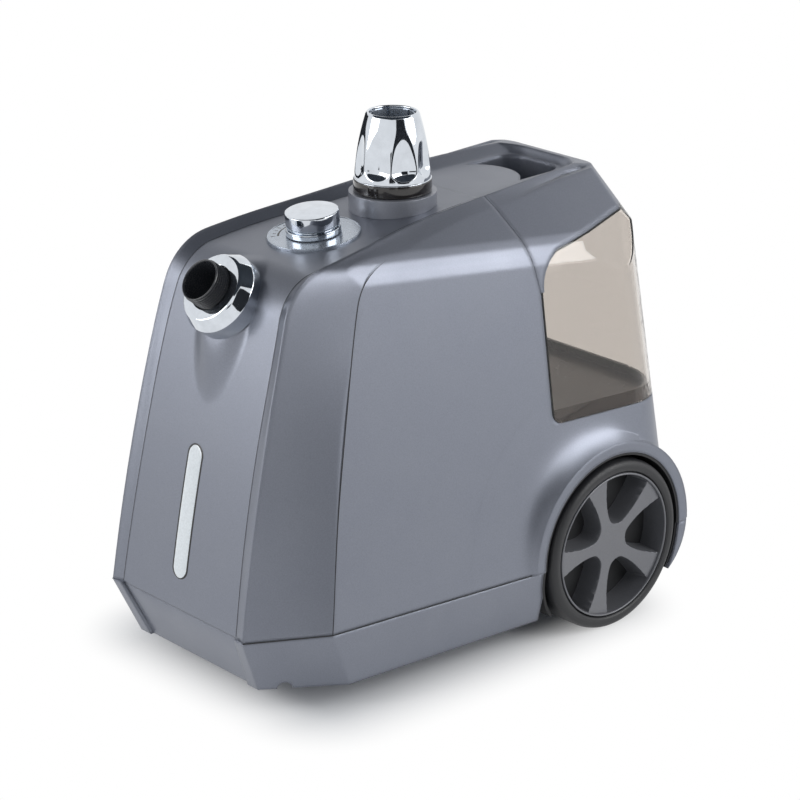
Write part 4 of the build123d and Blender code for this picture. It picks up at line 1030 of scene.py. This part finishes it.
@dataclass
class ChannelPanel:
    """Panel in the channel, with the tongue that swells out under the hose collar."""

    pole_hole: float = 19.4
    dial_sink_radius: float = 30.0
    sink: float = 1.2
    collar: tuple[float, float, float] = (0.0, -221.5, 252.3)
    swell: float = 0.52
    swell_near: float = 16.0
    swell_far: float = 36.0
    window_low: float = 64.3
    window_high: float = 153.0
    window_half: float = 7.3
    window_x: float = -2.8

    def lift(self, points: np.ndarray) -> np.ndarray:
        """How far the swelling lifts panel points along the collar's axis.

        A share of the height up to the collar's foot plane, faded out with the distance from the
        axis; below the collar the distance counts about half, which draws out a tongue.

        Args:
            points: panel points.
        Returns:
            The lift in millimetres.
        """
        axis = tilted(self.collar, OUTLET_TILT_DEG)
        along = np.array(axis.along)
        down = np.cross(axis.across, along)
        from_foot = points - np.array(self.collar)
        height = np.clip(-(from_foot @ along), 0, 14)
        fall = from_foot @ down
        fall = np.where(fall > 0, fall * 0.55, fall)
        far = np.sqrt((1.3 * points[..., 0]) ** 2 + fall ** 2)
        return self.swell * height * (1 - ease(far, self.swell_near, self.swell_far))

    def skin(self) -> None:
        """Spread the panel between its edges, sunk under the window and the dial."""
        share = np.linspace(0.046, 0.83, 290)
        line = PANEL_LINE.points(share)
        half = station(share, PANEL_COLUMN) + 0.35
        across = np.linspace(-1, 1, 132)
        x = half[:, None] * across[None, :]
        points = np.stack((x, np.broadcast_to(line[:, :1], x.shape),
                           np.broadcast_to(line[:, 1:], x.shape)), -1)
        along = np.array(tilted(self.collar, OUTLET_TILT_DEG).along)
        lift = self.lift(points)
        tangent = unit(np.gradient(line, axis=0))
        normal = np.stack((np.zeros(len(line)), -tangent[:, 1], tangent[:, 0]), 1)[:, None, :]
        run = np.clip(points[..., 2], self.window_low + self.window_half, self.window_high - self.window_half)
        slot = np.hypot(points[..., 0] - self.window_x, points[..., 2] - run)
        sunk = self.sink * (slot < self.window_half - 0.6)
        from_dial = points - np.array(DIAL_CENTRE)
        sunk += self.sink * (np.linalg.norm(from_dial, axis=-1) < self.dial_sink_radius)
        points = points + lift[..., None] * along - sunk[..., None] * normal
        middle = (points[:-1, :-1] + points[1:, :-1] + points[:-1, 1:] + points[1:, 1:]) / 4
        hole = np.hypot(middle[..., 0], middle[..., 1] - POLE_Y) < self.pole_hole
        piece = make_piece("channel_panel_skin", [Surface(points, flip=True, keep=~hole)], SKIN, "housing",
                           thickness_mm=1.6)
        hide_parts("channel_panel")

    def window(self) -> None:
        """Milky slot window, slightly domed, in a thin dark frame.

        Rows run up the slot; the width of a row is the slot's chord there.
        """
        rise = (1 - np.cos(np.linspace(0, np.pi, 80))) / 2
        z = self.window_low + (self.window_high - self.window_low) * rise
        share = np.linspace(0.046, 0.5, 400)
        line = PANEL_LINE.points(share)
        y = np.interp(z, line[:, 1], line[:, 0])
        run = np.clip(z, self.window_low + self.window_half, self.window_high - self.window_half)
        chord = np.sqrt(np.maximum(self.window_half ** 2 - (z - run) ** 2, 0))
        across = np.linspace(-1, 1, 13)
        dome = 0.15 + 0.5 * (1 - across ** 4)[None, :] * (chord / self.window_half)[:, None]
        inner = chord[:, None] * 0.9 * across[None, :]
        points = np.stack((self.window_x + inner, y[:, None] - dome,
                           np.broadcast_to(z[:, None], inner.shape)), -1)
        piece = make_piece("light_window_domed", [Surface(points, flip=True)], MILKY, "housing")
        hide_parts("light_window")
        grow = np.array((0.86, 1.0, 1.1))
        mid = (self.window_low + self.window_high) / 2
        stretch = 1 + (grow - 1) * self.window_half / (self.window_high - self.window_low) * 2
        frames = []
        for side in (-1.0, 1.0):
            x = side * chord[:, None] * grow[None, :]
            tall = mid + (z - mid)[:, None] * stretch[None, :]
            deep = np.interp(tall, line[:, 1], line[:, 0]) - np.array((0.05, 0.3, 0.05))[None, :]
            frames.append(Surface(np.stack((self.window_x + x, deep, tall), -1), flip=side > 0))
        make_piece("light_window_frame", frames, BLACK_PA, "housing")

    def build(self) -> None:
        """Make the panel and its window."""
        self.skin()
        self.window()


@dataclass
class WheelArch:
    """Soft flare of the side wall above a wheel, drawn over the moulding's own bell."""

    lip_radius: float = 74.3
    reach: float = 126.0
    tank_z: float = 140.5
    bay_deg: float = 116.8
    end_deg: float = 72.0
    soft: float = 2.0

    def flare(self, start_deg: float, stop_deg: float, limit_z: float) -> Surface:
        """Part of the flare between two angles about the axle.

        The half width is the soft maximum of bell and wall: the log of the sum of both, each as
        the exponential of its height over the softness. The excess fades out to the edge.

        Args:
            start_deg: first angle from straight back.
            stop_deg: last angle.
            limit_z: height where the flare stops.
        Returns:
            The right side's surface.
        """
        angle = np.radians(np.linspace(start_deg, stop_deg, 90))[:, None]
        limit = np.minimum(self.reach, (limit_z - AXLE_Z) / np.maximum(np.sin(angle), 0.05))
        t = np.linspace(0, 1, 44)[None, :] ** 1.25
        radius = self.lip_radius + (limit - self.lip_radius) * t
        y = AXLE_Y + radius * np.cos(angle)
        z = AXLE_Z + radius * np.sin(angle)
        bell_line = arc_through((118.6, 74.2), (113.0, 80.5), (98.0, self.reach), 300)
        bell = np.interp(radius, bell_line[:, 1], bell_line[:, 0])
        wall = wall_x(y, z)
        soft = self.soft
        blend = soft * np.log(np.exp((bell - 110) / soft) + np.exp((wall - 110) / soft)) + 110
        crest = np.maximum(bell, wall)
        fade = (1 - ease(radius, 104.0, self.reach)) * ease(np.degrees(angle), self.end_deg, 92.0)
        x = crest + fade * (blend - crest) + 0.05
        return Surface(np.stack((x, y, z), -1))

    def build(self) -> None:
        """Lay the flare before and below the tank, on both sides."""
        front = self.flare(180.0, self.bay_deg, 400.0)
        below = self.flare(self.bay_deg, self.end_deg, self.tank_z)
        make_piece("right_arch_flare", [front, below], SKIN, "housing")
        make_piece("left_arch_flare", [front.mirrored(), below.mirrored()], SKIN, "housing")


@dataclass
class PaintedGapShade:
    """Painted shade: fine dark ribbons laid on the gaps between the body mouldings."""

    width: float = 0.75
    front_y: float = -264.6
    front_half: float = 69.4
    corner_y: float = -213.2
    end_y: float = -51.5

    def facet_foot(self) -> Surface:
        """Draw the painted shade of the gap along the foot of the right facet.

        Three lines follow the foot: one on the facet, one raised at the foot and one on the wall.
        The outer two close in on the middle one towards the top.

        Returns:
            The right side's surface.
        """
        share = np.linspace(0.047, 0.575, 160)
        foot = station(share, FOOT_COLUMNS)
        rim = np.concatenate((station(share, RIM_COLUMN)[:, None], RIM_LINE.points(share)), 1)
        to_rim = unit(rim - foot)
        along = unit(np.gradient(foot, axis=0))
        facet = np.cross(to_rim, along)
        facet *= np.sign(facet[:, :1])
        wall = unit(np.array((1.0, -WALL_OPEN, WALL_LEAN)))
        out = unit(facet + wall)
        to_wall = np.cross(along, wall)
        to_wall *= np.sign(to_wall[:, 1:2])
        fade = (1 - ease(share, 0.50, 0.575))[:, None]
        rows = np.stack((foot + to_rim * self.width * 0.6 * fade + out * 0.05, foot + out * 0.09,
                         foot + to_wall * self.width * 0.4 * fade + out * 0.05), 1)
        return Surface(rows, flip=True)

    def base_joint(self) -> Surface:
        """Draw the painted shade of the gap above the base: a level dark ribbon along the front corner and
        the side wall.

        Returns:
            The right side's surface.
        """
        y = np.concatenate((np.linspace(self.front_y, self.corner_y, 40),
                            np.linspace(self.corner_y + 1.2, self.end_y, 100)))
        on_corner = y < self.corner_y
        slope = (WALL_HALF - self.front_half) / (self.corner_y - self.front_y)
        x = np.where(on_corner, self.front_half + (y - self.front_y) * slope,
                     WALL_HALF + WALL_OPEN * (y - WALL_Y))
        push = np.where(on_corner, 0.35, 0.12)
        z = SEAM_Z + np.array((-0.4, 0.4))
        spread = (y.size, z.size)
        return Surface(np.stack((np.broadcast_to((x + push)[:, None], spread),
                                 np.broadcast_to(y[:, None], spread), np.broadcast_to(z, spread)), -1))

    def panel_edge(self) -> Surface:
        """Draw the painted shade of the gap along the panel's edge: a dark ribbon just above the panel's
        line.

        Returns:
            The right side's surface.
        """
        share = np.linspace(0.048, 0.8, 220)
        line = PANEL_LINE.points(share)
        tangent = unit(np.gradient(line, axis=0))
        raised = line + 0.25 * np.stack((-tangent[:, 1], tangent[:, 0]), 1)
        x = station(share, PANEL_COLUMN)[:, None] + np.array((-0.3, 0.05))
        return Surface(np.concatenate((x[..., None], np.repeat(raised[:, None, :], 2, 1)), -1), flip=True)

    def build(self) -> None:
        """Lay the painted gap shade on both sides, in one piece."""
        right = (self.facet_foot(), self.base_joint(), self.panel_edge())
        both = [surface for one in right for surface in (one, one.mirrored())]
        make_piece("body_gap_painted_shade", both, BLACK_ABS_AND_PAINTED_SHADE, "housing")


@dataclass
class Housing:
    """Body mouldings and everything fixed in them."""

    def build(self) -> None:
        """Dress the mouldings and the works inside, and add the skins."""
        dress(BODY, "upper_shell", "base_tub")
        dress(DARK_ABS, "pole_ring", "pole_tube")
        dress(BLACK_ABS_AND_PAINTED_SHADE, "right_well", "left_well", "light_housing", "terminal_block", "cord_gland")
        dress(BOARD, "light_board")
        dress(STEEL, "axle", "axle_clips", "boiler_screws", "heater_ring", "thermostat", "thermal_fuse",
              "water_tube", "steam_tube")
        dress(ALLOY, "boiler_body", "boiler_lid")
        dress(SOFT, "boiler_gasket", "seat_seal", "valve_seal", "right_foot", "left_foot")
        dress(BLACK_PA, "tank_seat", "axle_bearers")
        ChannelPanel().build()
        WheelArch().build()
        # Painted shade: dark ribbons on the gaps between the mouldings.
        PaintedGapShade().build()


@dataclass
class Tank:
    """Lift-out water tank: smoke shell, brown floor, lacquered cover."""

    valve_y: float = 35.0
    coil_radius: float = 5.0
    wire_radius: float = 0.5
    coil_turns: float = 2.0
    valve_travel: float = 3.0

    def spring(self) -> None:
        """Add the valve's coil spring, held at its top, as a fixed coil; the real one shortens as the valve
        lifts.

        The wire's middle climbs steadily round a circle, and each ring of points is a small circle
        in the plane of the coil's radius and its axis, drawn in to a point at each end.
        """
        low, high = (np.array(corner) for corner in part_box("valve_spring"))
        bottom, top = (corner[2] / MM - DRAWING_SHIFT[2] for corner in (low, high))
        share = np.concatenate(((0.0,), np.linspace(0.0, 1.0, 97), (1.0,)))[:, None]
        wire = np.full_like(share, self.wire_radius)
        wire[[0, -1]] = 0.0
        round_wire = np.linspace(0.0, 2 * np.pi, 13)[None, :-1]
        angle = 2 * np.pi * self.coil_turns * share
        reach = self.coil_radius + wire * np.cos(round_wire)
        middle = bottom + self.wire_radius + (top - bottom - 2 * self.wire_radius) * share
        points = np.stack((reach * np.cos(angle), self.valve_y + reach * np.sin(angle),
                           middle + wire * np.sin(round_wire)), -1)
        coil = make_piece("valve_coil_spring", [Surface(points, wrap_columns=True)], STEEL, "tank",
                          closed=True)
        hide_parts("valve_spring")
        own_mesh(coil)

    def build(self) -> None:
        """Dress the tank's parts and add the valve's spring."""
        dress(SMOKE, "tank_shell")
        dress(BROWN, "tank_floor")
        dress(BODY, "tank_cover")
        dress(BLACK_PA, "filler_cap", "valve_stem")
        self.spring()


def main() -> None:
    """Build the studio and the pieces in order."""
    logging.basicConfig(level=logging.INFO, format="%(message)s")
    Studio().build()
    Housing().build()
    Tank().build()
    LockNut().build()
    Knob().build()
    HoseOutlet().build()
    for side, prefix in ((1.0, "right"), (-1.0, "left")):
        Wheel(side, prefix).build()


if __name__ == "__main__":
    main()
